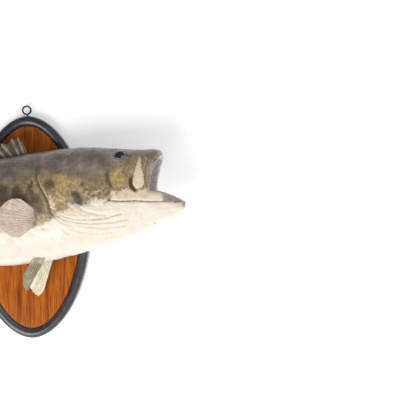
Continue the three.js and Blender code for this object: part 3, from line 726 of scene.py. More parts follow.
# Varnished fish skin: a satin film over painted skin, with fine wrinkles.
def varnishedSkin():
    material, tree, shader = newMaterial("varnishedSkin", 0.42, Coat_Weight=0.25,
                                         Coat_Roughness=0.22, IOR=1.46)
    place = addNode(tree, "ShaderNodeTexCoord").outputs["Object"]
    colour, spread, fine, _ = fishColour(tree, place)
    tree.links.new(colour, shader.inputs["Base Color"])
    grain = addNode(tree, "ShaderNodeTexNoise",
                    {"Vector": place, "Scale": 900, "Detail": 3, "Roughness": 0.6})
    rise = addNode(tree, "ShaderNodeBump",
                   {"Strength": 0.35, "Distance": 0.0004, "Height": grain.outputs["Fac"]})
    tree.links.new(rise.outputs["Normal"], shader.inputs["Normal"])
    polish = addNode(tree, "ShaderNodeMapRange", {0: spread, 3: 0.36, 4: 0.52})
    tree.links.new(polish.outputs[0], shader.inputs["Roughness"])
    return material


# Varnished scales: the skin's markings, with a darker hind edge where the flank is dark.
def varnishedScales():
    material, tree, shader = newMaterial("varnishedScales", 0.36, Coat_Weight=0.35,
                                         Coat_Roughness=0.2, IOR=1.5)
    place = addNode(tree, "ShaderNodeTexCoord").outputs["Object"]
    colour, spread, fine, weight = fishColour(tree, place)
    edge = addNode(tree, "ShaderNodeAttribute", attribute_name="edge").outputs["Fac"]
    tint = addNode(tree, "ShaderNodeAttribute", attribute_name="tint").outputs["Fac"]
    flank = addNode(tree, "ShaderNodeMapRange",
                    {0: weight["dark"], 3: 0.38, 4: 0.7}).outputs[0]
    bare = addNode(tree, "ShaderNodeMapRange",
                   {0: weight["white"], 3: 1, 4: 0.05}).outputs[0]
    strength = addNode(tree, "ShaderNodeMath", {0: flank, 1: bare},
                       operation="MULTIPLY").outputs[0]
    amount = addNode(tree, "ShaderNodeMath", {0: edge, 1: strength},
                     operation="MULTIPLY").outputs[0]
    shaded = addNode(tree, "ShaderNodeMix", {0: amount, 6: colour, 7: hexColour("#3d3123")},
                     data_type="RGBA").outputs[2]
    level = addNode(tree, "ShaderNodeMapRange", {0: tint, 3: 0.87, 4: 1.13}).outputs[0]
    toned = addNode(tree, "ShaderNodeHueSaturation", {"Value": level, "Color": shaded})
    tree.links.new(toned.outputs[0], shader.inputs["Base Color"])
    grain = addNode(tree, "ShaderNodeTexNoise",
                    {"Vector": place, "Scale": 1300, "Detail": 2, "Roughness": 0.6})
    rise = addNode(tree, "ShaderNodeBump",
                   {"Strength": 0.25, "Distance": 0.0003, "Height": grain.outputs["Fac"]})
    tree.links.new(rise.outputs["Normal"], shader.inputs["Normal"])
    return material


# Dried fin: painted membrane between stiff rays, satin under varnish.
def finSkin(name, colours, speckle=0.3):
    material, tree, shader = newMaterial(name, 0.45, Coat_Weight=0.2, Coat_Roughness=0.3,
                                         IOR=1.46)
    hues = {key: hexColour(text) for key, text in colours.items()}
    place = addNode(tree, "ShaderNodeTexCoord").outputs["Object"]
    mark = {key: addNode(tree, "ShaderNodeAttribute", attribute_name=key).outputs["Fac"]
            for key in ("ray", "reach", "across")}
    mottle = addNode(tree, "ShaderNodeTexNoise",
                     {"Vector": place, "Scale": 180, "Detail": 4, "Roughness": 0.65})
    spread = addNode(tree, "ShaderNodeMapRange",
                     {0: mottle.outputs["Fac"], 1: 0.36, 2: 0.64}).outputs[0]
    fine = addNode(tree, "ShaderNodeTexNoise",
                   {"Vector": place, "Scale": 700, "Detail": 3, "Roughness": 0.7})
    shift = addNode(tree, "ShaderNodeMath", {0: spread, 1: 0.3, 2: mark["reach"]},
                    operation="MULTIPLY_ADD").outputs[0]
    web = addNode(tree, "ShaderNodeMix", {0: spread, 6: hues["web"], 7: hues["webDark"]},
                  data_type="RGBA").outputs[2]
    rays = addNode(tree, "ShaderNodeMix", {0: spread, 6: hues["rays"], 7: hues["raysDark"]},
                   data_type="RGBA").outputs[2]
    lines = addNode(tree, "ShaderNodeMapRange", {0: mark["ray"], 1: 0.25, 2: 0.75}).outputs[0]
    blade = addNode(tree, "ShaderNodeMix", {0: lines, 6: web, 7: rays},
                    data_type="RGBA").outputs[2]
    root = addNode(tree, "ShaderNodeMapRange", {0: shift, 1: 0.08, 2: 0.42}).outputs[0]
    rootTone = addNode(tree, "ShaderNodeMix",
                       {0: lines, 6: hues["root"], 7: hues["rootRays"]},
                       data_type="RGBA").outputs[2]
    colour = addNode(tree, "ShaderNodeMix", {0: root, 6: rootTone, 7: blade},
                     data_type="RGBA").outputs[2]
    tipped = addNode(tree, "ShaderNodeMapRange",
                     {0: mark["reach"], 1: 0.86, 2: 1.0, 4: 0.6}).outputs[0]
    colour = addNode(tree, "ShaderNodeMix", {0: tipped, 6: colour, 7: hues["tip"]},
                     data_type="RGBA").outputs[2]
    dots = addNode(tree, "ShaderNodeMapRange",
                   {0: fine.outputs["Fac"], 1: 0.54, 2: 0.72, 4: speckle}).outputs[0]
    colour = addNode(tree, "ShaderNodeMix", {0: dots, 6: colour, 7: hues["webDark"]},
                     data_type="RGBA").outputs[2]
    tree.links.new(colour, shader.inputs["Base Color"])
    rise = addNode(tree, "ShaderNodeBump",
                   {"Strength": 0.3, "Distance": 0.0004, "Height": fine.outputs["Fac"]})
    tree.links.new(rise.outputs["Normal"], shader.inputs["Normal"])
    return material


# Glass eye: a black pupil and a silvery iris behind polished glass.
def glassEye():
    material, tree, shader = newMaterial("glassEye", 0.12, Coat_Weight=1.0, Coat_Roughness=0.03,
                                         IOR=1.5)
    radius = addNode(tree, "ShaderNodeAttribute", attribute_name="radius").outputs["Fac"]
    place = addNode(tree, "ShaderNodeTexCoord").outputs["Object"]
    mottle = addNode(tree, "ShaderNodeTexNoise",
                     {"Vector": place, "Scale": 900, "Detail": 3, "Roughness": 0.6})
    wander = addNode(tree, "ShaderNodeMath", {0: mottle.outputs["Fac"], 1: 0.06, 2: radius},
                     operation="MULTIPLY_ADD").outputs[0]
    rings = addNode(tree, "ShaderNodeValToRGB", {0: wander}, stops=[
        (0.0, hexColour("#05070a")), (0.75, hexColour("#0b0e12")), (0.79, hexColour("#5f5a45")),
        (0.83, hexColour("#7b8589")), (0.89, hexColour("#98a2a7")), (0.94, hexColour("#474b4b")),
        (1.0, hexColour("#2a2622"))])
    tree.links.new(rings.outputs[0], shader.inputs["Base Color"])
    return material


# Painted, varnished lining of the mouth on the tongue.
def mouthLining():
    material, tree, shader = newMaterial("mouthLining", 0.4, Coat_Weight=0.3,
                                         Coat_Roughness=0.25, IOR=1.46)
    place = addNode(tree, "ShaderNodeTexCoord").outputs["Object"]
    mottle = addNode(tree, "ShaderNodeTexNoise",
                     {"Vector": place, "Scale": 160, "Detail": 5, "Roughness": 0.65})
    tones = addNode(tree, "ShaderNodeValToRGB", {0: mottle.outputs["Fac"]}, stops=[
        (0.35, hexColour("#b39a8c")), (0.65, hexColour("#d9c6b6"))])
    tree.links.new(tones.outputs[0], shader.inputs["Base Color"])
    rise = addNode(tree, "ShaderNodeBump",
                   {"Strength": 0.4, "Distance": 0.0006, "Height": mottle.outputs["Fac"]})
    tree.links.new(rise.outputs["Normal"], shader.inputs["Normal"])
    return material


woodGrain = {"pore": 0.9 * mm, "poreLength": 30 * mm, "figure": 9 * mm, "figureLength": 120 * mm}


# Red-brown stained hardwood under gloss lacquer: upright grain with dark pores.
def stainedWood():
    material, tree, shader = newMaterial("stainedWood", 0.5, Coat_Weight=0.12,
                                         Coat_Roughness=0.18, IOR=1.45,
                                         Specular_IOR_Level=0.15)
    place = addNode(tree, "ShaderNodeTexCoord").outputs["Object"]
    grain = woodGrain
    poreSpace = addNode(tree, "ShaderNodeMapping", {
        "Vector": place, "Rotation": (0, plaque["tilt"], 0),
        "Scale": (1 / grain["pore"], 1 / grain["pore"], 1 / grain["poreLength"])})
    figureSpace = addNode(tree, "ShaderNodeMapping", {
        "Vector": place, "Rotation": (0, plaque["tilt"], 0),
        "Scale": (1 / grain["figure"], 1 / grain["figure"], 1 / grain["figureLength"])})
    pores = addNode(tree, "ShaderNodeTexNoise",
                    {"Vector": poreSpace.outputs[0], "Scale": 1, "Detail": 3, "Roughness": 0.6})
    figure = addNode(tree, "ShaderNodeTexNoise",
                     {"Vector": figureSpace.outputs[0], "Scale": 1, "Detail": 4,
                      "Roughness": 0.55, "Distortion": 0.6})
    body = addNode(tree, "ShaderNodeValToRGB", {0: figure.outputs["Fac"]}, stops=[
        (0.3, hexColour("#7a3704")), (0.46, hexColour("#a35207")), (0.6, hexColour("#bb650c")),
        (0.75, hexColour("#8d4406"))])
    lines = addNode(tree, "ShaderNodeMapRange",
                    {0: pores.outputs["Fac"], 1: 0.5, 2: 0.66, 4: 0.75}).outputs[0]
    colour = addNode(tree, "ShaderNodeMix",
                     {0: lines, 6: body.outputs[0], 7: hexColour("#3c1604")},
                     data_type="RGBA").outputs[2]
    tree.links.new(colour, shader.inputs["Base Color"])
    rise = addNode(tree, "ShaderNodeBump", {"Strength": 0.15, "Distance": 0.0003,
                                            "Height": pores.outputs["Fac"]})
    tree.links.new(rise.outputs["Normal"], shader.inputs["Normal"])
    return material


# Ebonised moulding: black lacquer on wood, a little orange-peeled; its lighter blue-grey patches are partly
# rubbed lacquer and partly painted sheen.
def ebonisedRim():
    material, tree, shader = newMaterial("ebonisedRim", 0.3, Coat_Weight=0.5,
                                         Coat_Roughness=0.2, IOR=1.5)
    place = addNode(tree, "ShaderNodeTexCoord").outputs["Object"]
    peel = addNode(tree, "ShaderNodeTexNoise",
                   {"Vector": place, "Scale": 320, "Detail": 3, "Roughness": 0.5})
    rubbedAndSheen = addNode(tree, "ShaderNodeTexNoise",
                   {"Vector": place, "Scale": 70, "Detail": 5, "Roughness": 0.7})
    # lighter blue-grey tones: rubbed lacquer and painted sheen
    tones = addNode(tree, "ShaderNodeValToRGB", {0: rubbedAndSheen.outputs["Fac"]}, stops=[
        (0.4, hexColour("#23262c")), (0.6, hexColour("#31353e")), (0.75, hexColour("#585d69"))])
    tree.links.new(tones.outputs[0], shader.inputs["Base Color"])
    polish = addNode(tree, "ShaderNodeMapRange", {0: rubbedAndSheen.outputs["Fac"], 3: 0.22, 4: 0.42})
    tree.links.new(polish.outputs[0], shader.inputs["Roughness"])
    rise = addNode(tree, "ShaderNodeBump",
                   {"Strength": 0.2, "Distance": 0.0005, "Height": peel.outputs["Fac"]})
    tree.links.new(rise.outputs["Normal"], shader.inputs["Normal"])
    return material


# Blackened steel wire, satin, with drawing marks and a trace of wear.
def blackenedSteel():
    material, tree, shader = newMaterial("blackenedSteel", 0.34, Metallic=1.0)
    place = addNode(tree, "ShaderNodeTexCoord").outputs["Object"]
    wear = addNode(tree, "ShaderNodeTexNoise",
                   {"Vector": place, "Scale": 500, "Detail": 4, "Roughness": 0.7})
    tones = addNode(tree, "ShaderNodeValToRGB", {0: wear.outputs["Fac"]}, stops=[
        (0.4, hexColour("#2b2b2d")), (0.62, hexColour("#3c3c3f")), (0.8, hexColour("#77777a"))])
    tree.links.new(tones.outputs[0], shader.inputs["Base Color"])
    polish = addNode(tree, "ShaderNodeMapRange", {0: wear.outputs["Fac"], 3: 0.28, 4: 0.5})
    tree.links.new(polish.outputs[0], shader.inputs["Roughness"])
    return material


# Skin

body = bodyGrid()
skinFinish = varnishedSkin()
scaleFinish = varnishedScales()
bassSkin = sheetMesh("bassSkin", body["points"], body["marks"])
fitPiece(bassSkin, skinFinish, "bass_skin", "head", "lower_jaw", "gill_cover_right",
      "gill_cover_left", "maxilla_right", "maxilla_left", "trunk", "tail")
print("skin", len(bassSkin.data.polygons), "faces")


# Scales

scales = {
    "pitch": 5.2, "rowPitch": 6.9, "length": 9.8, "width": 9.6, "thickness": 0.16,
    "sunk": 0.28, "lift": 0.3, "dome": 0.05, "patch": 0.003,
    "from": 100, "to": 498,
    "sizes": [(110, 0.58), (170, 0.72), (250, 0.92), (400, 0.82), (490, 0.62)],
}
faceScales = {
    "pitch": 3.2, "rowPitch": 3.7, "length": 5.6, "width": 5.2, "thickness": 0.1,
    "sunk": 0.16, "lift": 0.1, "dome": 0.02, "patch": 0.003,
    "from": 58, "to": 160, "sizes": [(60, 0.8), (110, 1), (150, 1.1)],
    # along, up, half length, half height of each patch
    "patches": [(84, 13, 20, 19), (140, 17, 15, 19)],
}
flankRows = len(skinGrid["tailRows"]) + len(skinGrid["headRows"])
firstRow = skinGrid["endSteps"]


# One scale as a closed blade: places (back, up, rise) and how near its hind edge they are.
def scaleBlank(acrossSteps=3, reachSteps=4):
    across, face = bladeColumns(acrossSteps)
    reach = np.linspace(0, 1, reachSteps + 1)[:, None]
    q = (2 * across - 1)[None, :] + 0 * reach
    edge = 1 - 0.34 * q ** 2
    p = reach * edge
    half = 0.5 * (0.74 + 0.26 * np.sin(np.clip(p * 1.25, 0, 1) * math.pi * 0.5))
    border = np.minimum(1, 4 * np.minimum(1 - np.abs(q), 1 - reach))
    return {"p": p, "q": q * half, "face": face * border * (reach > 0), "reach": reach + 0 * q,
            "rim": np.clip(np.maximum(reach ** 3, np.abs(q) ** 4 * reach), 0, 1)}


def sampleGrid(values, row, column):
    i = np.clip(np.floor(row).astype(int), 0, values.shape[0] - 2)
    j = np.clip(np.floor(column).astype(int), 0, values.shape[1] - 2)
    fi, fj = row - i, column - j
    if values.ndim == 3:
        fi, fj = fi[..., None], fj[..., None]
    low = lerp(values[i, j], values[i, j + 1], fj)
    high = lerp(values[i + 1, j], values[i + 1, j + 1], fj)
    return lerp(low, high, fi)


# Centres of the scales on one flank, in rows beside the lateral line that end at the
# midlines of the back and belly. Each is (grid row, grid column, size).
def scaleSeats(side, spec, allowed):
    points = body["points"]
    rows = np.arange(firstRow, firstRow + flankRows)
    step = np.linalg.norm(np.diff(points[rows], axis=1), axis=-1) / mm
    girth = np.concatenate([np.zeros((len(rows), 1)), np.cumsum(step, 1)], 1)
    columns = body["points"].shape[1]
    angles = roundAngles(columns - 1)
    flankAngle = 0 if side > 0 else math.pi
    alongs = body["along"][rows]
    seats = []
    flanks = np.concatenate([skinGrid["tailRows"], skinGrid["headRows"]])
    if side > 0:
        start, stop = np.searchsorted(angles, -math.pi / 2), np.searchsorted(angles, math.pi / 2)
        order = np.arange(start, stop + 1)
    else:
        over = np.arange(np.searchsorted(angles, math.pi / 2), columns)
        under = np.arange(0, np.searchsorted(angles, -math.pi / 2) + 1)
        order = None
    flank = float(spec["to"])
    sizes = np.array(spec["sizes"])
    while flank > spec["from"]:
        size = float(np.interp(flank, sizes[:, 0], sizes[:, 1]))
        row = float(np.interp(-flank, -flanks, np.arange(len(flanks))))
        k = int(round(row))
        if order is not None:
            reach = girth[k, order] - np.interp(0, angles[order], girth[k, order])
            cols = order.astype(float)
            low, high = reach[0], reach[-1]
        else:
            top = girth[k, over[-1]] - girth[k, over]
            bottom = girth[k, under]
            reach = np.concatenate([-bottom[::-1], top[::-1][1:]])
            cols = np.concatenate([under[::-1].astype(float), over[::-1][1:].astype(float)])
            low, high = reach[0], reach[-1]
        gap = spec["rowPitch"] * size
        first = math.ceil(low / gap)
        last = math.floor(high / gap)
        for n in range(first, last + 1):
            shift = 0.5 if n % 2 else 0.0
            at = flank - shift * spec["pitch"] * size
            r = float(np.interp(-at, -flanks, np.arange(len(flanks))))
            seats.append((r, float(np.interp(n * gap, reach, cols)), size))
        flank -= spec["pitch"] * size
    seats = np.array(seats)
    row, column = seats[:, 0] + firstRow, seats[:, 1]
    keep = allowed(sampleGrid(body["along"], row, column), sampleGrid(body["up"], row, column))
    keep &= sampleGrid(body["pressed"].astype(float), row, column) < 0.05
    return row[keep], column[keep], seats[keep, 2]


# Scales joined in one mesh, each laid on the skin, its hind edge lifted over the next.
def scaleCoat(name, seats, spec, seed):
    row, column, size = seats
    count = len(row)
    dice = np.random.default_rng(seed)
    blank = scaleBlank()
    p = (blank["p"] * spec["length"] - (spec["length"] - spec["pitch"] * 1.15))[None]
    q = (blank["q"] * spec["width"])[None]
    scale = size[:, None, None]
    turn = dice.normal(0, 0.05, count)[:, None, None]
    dx = (p * np.cos(turn) - q * np.sin(turn)) * scale
    dy = (p * np.sin(turn) + q * np.cos(turn)) * scale
    points = body["points"]
    here = sampleGrid(points, row, column)
    rowStep = np.linalg.norm(sampleGrid(points, row + 1, column) - here, axis=-1) / mm
    rowStep = np.where(rowStep < 1e-3, 1, rowStep)
    columnStep = np.linalg.norm(sampleGrid(points, row, column + 1) - here, axis=-1) / mm
    upSign = np.sign(sampleGrid(body["up"], row, column + 1) - sampleGrid(body["up"], row, column))
    flanks = np.concatenate([skinGrid["tailRows"], skinGrid["headRows"]])
    places = np.arange(len(flanks), dtype=float)
    flankAt = lambda value: np.interp(value - firstRow, places, flanks)
    stretch = (flankAt(row) - flankAt(row + 1)) / rowStep
    target = flankAt(row)[:, None, None] + dx * stretch[:, None, None]
    atRow = np.interp(-target, -flanks, places) + firstRow
    atColumn = column[:, None, None] + upSign[:, None, None] * dy / columnStep[:, None, None]
    top = points.shape[1] - 1
    atColumn = np.mod(atColumn, top)
    atRow = np.clip(atRow, firstRow, points.shape[0] - 2)
    surface = sampleGrid(points, atRow, atColumn)
    normals = sampleGrid(body["normals"], atRow, atColumn)
    reach = blank["reach"][None]
    rise = (-spec["sunk"] + (spec["lift"] + spec["sunk"]) * reach
            + spec["dome"] * (1 - (2 * blank["q"][None]) ** 2) * reach) * scale
    rise = rise * (1 + 0.12 * dice.normal(0, 1, count)[:, None, None])
    pale = sampleGrid(body["marks"]["white"], row, column)[:, None, None]
    if "patches" in spec:  # the face's scales sink into the skin round each patch
        pale = ramp(faceReach(sampleGrid(body["along"], row, column),
                              sampleGrid(body["up"], row, column)), 0.5, 1)[:, None, None]
    rise = rise * (1 - 0.75 * pale)  # the belly's scales lie smooth
    rise = rise + blank["face"][None] * spec["thickness"] * (1 - 0.6 * pale) / 2
    corners = surface + normals * rise[..., None] * mm
    marks = {key: sampleGrid(values, row, column)[:, None, None] * 0.5
             + sampleGrid(values, atRow, atColumn) * 0.5
             for key, values in body["marks"].items()}
    marks["edge"] = blank["rim"][None] * (1 - 0.8 * pale) + 0 * rise
    marks["tint"] = 0.5 + dice.uniform(-0.5, 0.5, count)[:, None, None] * (1 - 0.8 * pale) + 0 * rise
    return joinedBlades(name, corners, marks, (atRow / points.shape[0], atColumn / top, row, column,
                                               blank, spec))


# Many copies of one blade as a single mesh: their sheets share the same faces.
def joinedBlades(name, corners, marks, seats):
    count, rows, columns = corners.shape[:3]
    pattern = sheetMesh(name + "Pattern", np.stack(np.meshgrid(
        np.arange(columns, dtype=float), np.arange(rows, dtype=float)), -1)[..., [0, 1, 1]], weld=0)
    cell = [[int(round(pattern.data.vertices[v].co.x)) + columns * int(round(
        pattern.data.vertices[v].co.y)) for v in face.vertices] for face in pattern.data.polygons]
    bpy.data.objects.remove(pattern)
    cell = np.array(cell)
    faces = (cell[None] + (np.arange(count) * rows * columns)[:, None, None]).reshape(-1, 4)
    mesh = bpy.data.meshes.new(name)
    mesh.from_pydata(corners.reshape(-1, 3).tolist(), [], faces.tolist())
    for key, values in marks.items():
        layer = mesh.attributes.new(key, "FLOAT", "POINT")
        layer.data.foreach_set("value", np.broadcast_to(
            values, corners.shape[:3]).astype(np.float32).ravel())
    _, _, row, column, blank, spec = seats
    patchMap = mesh.uv_layers.new(name="OFBake")
    rootU = 0.02 + 0.94 * row / body["points"].shape[0]
    rootV = 0.02 + 0.94 * column / body["points"].shape[1]
    u = rootU[:, None, None] + spec["patch"] * (blank["p"][None] - 0.5)
    v = rootV[:, None, None] + spec["patch"] * blank["q"][None]
    flat = np.stack([np.broadcast_to(u, corners.shape[:3]), np.broadcast_to(v, corners.shape[:3])],
                    -1).reshape(-1, 2)
    loops = np.empty(len(mesh.loops), int)
    mesh.loops.foreach_get("vertex_index", loops)
    patchMap.data.foreach_set("uv", flat[loops].astype(np.float32).ravel())
    shape = bmesh.new()
    shape.from_mesh(mesh)
    bmesh.ops.remove_doubles(shape, verts=shape.verts, dist=2e-7)
    bmesh.ops.dissolve_degenerate(shape, edges=shape.edges, dist=1e-7)
    bmesh.ops.recalc_face_normals(shape, faces=shape.faces)
    for edge in shape.edges:  # the thin rims stay crisp, so that the faces shade as skin
        edge.smooth = edge.calc_face_angle(0) < 1.2
    bpy.data.meshes.remove(mesh)
    return finished(name, shape)


gillEdge = tableCurve([(-60, 118), (-53, 120), (-46, 136), (-37, 150), (-27.5, 158), (-15, 162),
                       (0, 165), (12, 169), (24, 174), (42, 176), (48, 170), (60, 118), (90, 112)])


def onTrunk(along, up):
    return along > gillEdge(up)[..., 1]


def faceReach(along, up):
    return np.min([np.hypot((along - a) / halfLength, (up - u) / halfHeight)
                   for a, u, halfLength, halfHeight in faceScales["patches"]], axis=0)


def onFace(along, up):
    return faceReach(along, up) < 1


coats = {"scales": (scales, onTrunk), "faceScales": (faceScales, onFace)}
for side, word in ((1, "Right"), (-1, "Left")):
    for name, (spec, allowed) in coats.items():
        seats = scaleSeats(side, spec, allowed)
        coat = scaleCoat(name + word, seats, spec, 100 + side)
        fitPiece(coat, scaleFinish, "bass_skin")
        print(name, word, len(seats[0]), "with", len(coat.data.polygons), "faces")


# Fins

finEdge = 0.7  # thickness of a fin's free edge, mm
fins = {
    # along at the root, lean back from upright in degrees, height
    "dorsalFinSpiny": {
        "nodes": ("dorsal_fin_spiny",), "kind": "median", "side": 1, "thick": 1.5,
        "rays": [(187, 18, 21), (192, 15, 27.5), (200, 19, 27), (209, 38, 26), (220, 41, 25),
                 (232, 42, 23.5), (244, 43, 21.5), (256, 43, 18.5), (267, 44, 15.5),
                 (277, 44, 12.5), (286, 44, 11)],
        "count": 10, "spines": True, "notch": 0.76, "ridge": 1.1, "wave": 0.5,
    },
    "dorsalFinSoft": {
        "nodes": ("dorsal_fin_soft",), "kind": "median", "side": 1, "thick": 1.8,
        "rays": [(302, 28, 38), (311, 33, 55), (322, 38, 63), (335, 43, 62), (350, 47, 55),
                 (366, 51, 46), (384, 56, 36)],
        "count": 13, "ridge": 1.0, "wave": 1.2,
    },
    "analFin": {
        "nodes": ("anal_fin",), "kind": "median", "side": -1, "thick": 1.8,
        "rays": [(346, 14, 20), (351, 15, 35), (359, 17, 43), (369, 20, 44), (380, 24, 40),
                 (392, 28, 34), (402, 32, 27)],
        "count": 12, "ridge": 1.0, "wave": 0.9,
    },
    # angle up from straight back, length
    "caudalFin": {
        "nodes": ("caudal_fin",), "kind": "tail", "thick": 3.6, "rootAlong": 496,
        "rootHalf": 26,
        "rays": [(-37, 60), (-31, 76), (-23, 80), (-12, 74), (0, 70), (12, 74), (23, 81),
                 (31, 79), (37, 63)],
        "count": 19, "ridge": 1.0, "wave": 1.2,
    },
    "pectoralFinRight": {
        "nodes": ("pectoral_fin_right",), "kind": "paired", "along": 181, "up": -20, "side": 1,
        "rootHalf": 12, "rootLean": 66, "standOut": 27, "thick": 2.0,
        "rays": [(42, 29), (35, 42), (24, 50), (11, 53), (-1, 49), (-14, 39), (-30, 23)],
        "count": 15, "ridge": 0.9, "wave": 1.0,
    },
    "pectoralFinLeft": {
        "nodes": ("pectoral_fin_left",), "kind": "paired", "along": 181, "up": -33, "side": -1,
        "rootHalf": 6, "rootLean": 60, "standOut": 3, "thick": 1.6,
        "rays": [(-22, 42), (-30, 50), (-38, 50), (-46, 42)],
        "count": 11, "ridge": 0.7, "wave": 0.2,
    },
    "pelvicFinRight": {
        "nodes": ("pelvic_fin_right",), "kind": "paired", "along": 187, "up": -75, "side": 1,
        "rootHalf": 10.5, "rootLean": 8, "standOut": 12, "thick": 1.9,
        "rays": [(-55, 54), (-56.5, 51), (-54, 40), (-52, 24)],
        "count": 6, "ridge": 1.1, "wave": 0.7,
    },
    "pelvicFinLeft": {
        "nodes": ("pelvic_fin_left",), "kind": "paired", "along": 180, "up": -79, "side": -1,
        "rootHalf": 7.5, "rootLean": 8, "standOut": 12, "thick": 1.9,
        "rays": [(-64, 51), (-63, 58), (-56, 53), (-50, 44)],
        "count": 6, "ridge": 1.1, "wave": 0.7,
    },
}
finPalettes = {
    "median": {"web": "#8d7f58", "webDark": "#5d5238", "rays": "#b3a47c", "raysDark": "#857650",
               "root": "#37342c", "rootRays": "#857f70", "tip": "#473f31"},
    "spiny": {"web": "#57523f", "webDark": "#353226", "rays": "#a79d86", "raysDark": "#6b634d",
              "root": "#34332d", "rootRays": "#85827a", "tip": "#5f5848"},
    "tail": {"web": "#8c7a4d", "webDark": "#544832", "rays": "#bba67e", "raysDark": "#8d744f",
             "root": "#2b2c33", "rootRays": "#a5a29f", "tip": "#4b3f33"},
    "pectoral": {"web": "#d0bcaa", "webDark": "#b09b88", "rays": "#e3d3c3", "raysDark": "#cbb8a6",
                 "root": "#3d3023", "rootRays": "#9c8977", "tip": "#bda998"},
    "pelvicNear": {"web": "#8f8970", "webDark": "#69644f", "rays": "#b3ab93", "raysDark": "#8c856d",
                   "root": "#c9c1b0", "rootRays": "#d9d2c3", "tip": "#8d8468"},
    "pelvicFar": {"web": "#e0d7c0", "webDark": "#b3aa88", "rays": "#ebe3d0", "raysDark": "#d3c9ab",
                  "root": "#e6ddd0", "rootRays": "#efe8dc", "tip": "#cfc5ab"},
}


def spreadRays(rays):
    last = len(rays) - 1
    curve = tableCurve([(k / last, *ray) for k, ray in enumerate(rays)])
    return lambda across: curve(across)[..., 1:]


# The middle surface of a fin: points, and the direction that its right face looks.
def medianBlade(spec, across, reach, length):
    ray = spreadRays(spec["rays"])(across)
    section = sectionAt(ray[..., 0])
    rootUp = section[..., 2] if spec["side"] > 0 else section[..., 6]
    lean = np.radians(ray[..., 1])
    stretch = reach * (ray[..., 2] * length + 3)
    along = ray[..., 0] + stretch * np.sin(lean)
    up = rootUp + spec["side"] * (stretch * np.cos(lean) - 3)
    return onFish(along, up, 0 * up), frameAt(along)[3]


def tailBlade(spec, across, reach, length):
    ray = spreadRays(spec["rays"])(across)
    spread = np.radians(ray[..., 0])
    stretch = reach * (ray[..., 1] * length + 8) - 8
    along = spec["rootAlong"] + 6 + stretch * np.cos(spread)
    up = lerp(-spec["rootHalf"], spec["rootHalf"], across) + stretch * np.sin(spread)
    return onFish(along, up, 0 * up), frameAt(along)[3]


def pairedBlade(spec, across, reach, length):
    ray = spreadRays(spec["rays"])(across)
    _, back, up, out = frameAt(spec["along"])
    middle = onFish(spec["along"], spec["up"],
                    spec["side"] * (surfaceOut(spec["along"], spec["up"]) - 1))
    stand, lean = math.radians(spec["standOut"]), math.radians(spec["rootLean"])
    outward = out * spec["side"]
    away = back * math.cos(stand) + outward * math.sin(stand)
    facing = outward * math.cos(stand) - back * math.sin(stand)
    rootLine = up * math.sin(lean) - away * math.cos(lean)
    angle = np.radians(ray[..., 0])
    stretch = reach * (ray[..., 1] * length + 4) - 4
    points = (middle + (lerp(spec["rootHalf"], -spec["rootHalf"], across)[..., None] * rootLine
                        + (stretch * np.cos(angle))[..., None] * away
                        + (stretch * np.sin(angle))[..., None] * up) * mm)
    return points, facing + 0 * points


blades = {"median": medianBlade, "tail": tailBlade, "paired": pairedBlade}


def finPiece(name, spec, material):
    count = spec["count"]
    across, face = bladeColumns(count * 7)
    reach = np.concatenate([[0], np.linspace(0.03, 0.975, 34), [0.992, 1.0]])[:, None]
    grid = across[None, :] + 0 * reach
    reach = reach + 0 * grid
    phase = grid * count
    ridge = np.abs(np.cos(math.pi * phase))
    if spec.get("spines"):
        tip = 2 * np.abs(phase - np.round(phase))
        length = lerp(1, spec["notch"], tip ** 0.75)
        ray = ramp(ridge, 0.78, 0.98)
        relief = ray * (1 - 0.75 * reach)
    else:
        split = np.abs(np.cos(math.pi * 2 * phase))
        branch = ramp(reach, 0.35, 0.7)
        ray = lerp(ramp(ridge, 0.35, 0.95), ramp(split, 0.3, 0.95), branch * 0.6)
        relief = ray * (1 - 0.55 * reach)
        fray = softNoise(phase, 0 * phase, 0.5, 1, 50 + count)
        length = 1 + (0.012 * (ridge - 0.5) + 0.010 * fray) * ramp(reach, 0.5, 1)
    middle, facing = blades[spec["kind"]](spec, grid, reach, length)
    edges = np.minimum(1, np.minimum(grid, 1 - grid) * count * 1.6) ** 0.5
    ends = np.minimum(1, (1 - reach) * 60) ** 0.5 * np.minimum(1, reach * 60)
    thick = lerp(spec["thick"], finEdge, reach ** 0.8) * 0.55 + spec["ridge"] * 0.5 * relief
    half = 0.5 * thick * edges * ends
    wave = spec["wave"] * reach ** 1.5 * (np.sin(grid * 9 + reach * 2) + 0.6 * softNoise(
        phase, reach * 6, 1.1, 2.5, 60 + count))
    points = middle + facing * ((half * face[None, :]) + wave)[..., None] * mm
    front = -(plaqueFront(points[..., 0], points[..., 2]) + 0.3) * mm
    points[..., 1] = np.minimum(points[..., 1], front)
    marks = {"ray": ray, "reach": reach, "across": grid}
    piece = sheetMesh(name, points, marks)
    return fitPiece(piece, material, "bass_fins", *spec["nodes"])


finFinishes = {
    "median": finSkin("oliveFinSkin", finPalettes["median"]),
    "spiny": finSkin("spinyFinSkin", finPalettes["spiny"]),
    "tail": finSkin("tailFinSkin", finPalettes["tail"], 0.45),
    "pectoral": finSkin("pectoralFinSkin", finPalettes["pectoral"], 0.2),
    "pelvicNear": finSkin("pelvicFinSkinNear", finPalettes["pelvicNear"], 0.25),
    "pelvicFar": finSkin("pelvicFinSkinFar", finPalettes["pelvicFar"], 0.2),
}
finMaterials = {
    "dorsalFinSpiny": "spiny", "dorsalFinSoft": "median", "analFin": "median",
    "caudalFin": "tail", "pectoralFinRight": "pectoral", "pectoralFinLeft": "pectoral",
    "pelvicFinRight": "pelvicNear", "pelvicFinLeft": "pelvicFar",
}
for name, spec in fins.items():
    finPiece(name, spec, finFinishes[finMaterials[name]])
print("fins", len(fins))


# Eyes and tongue

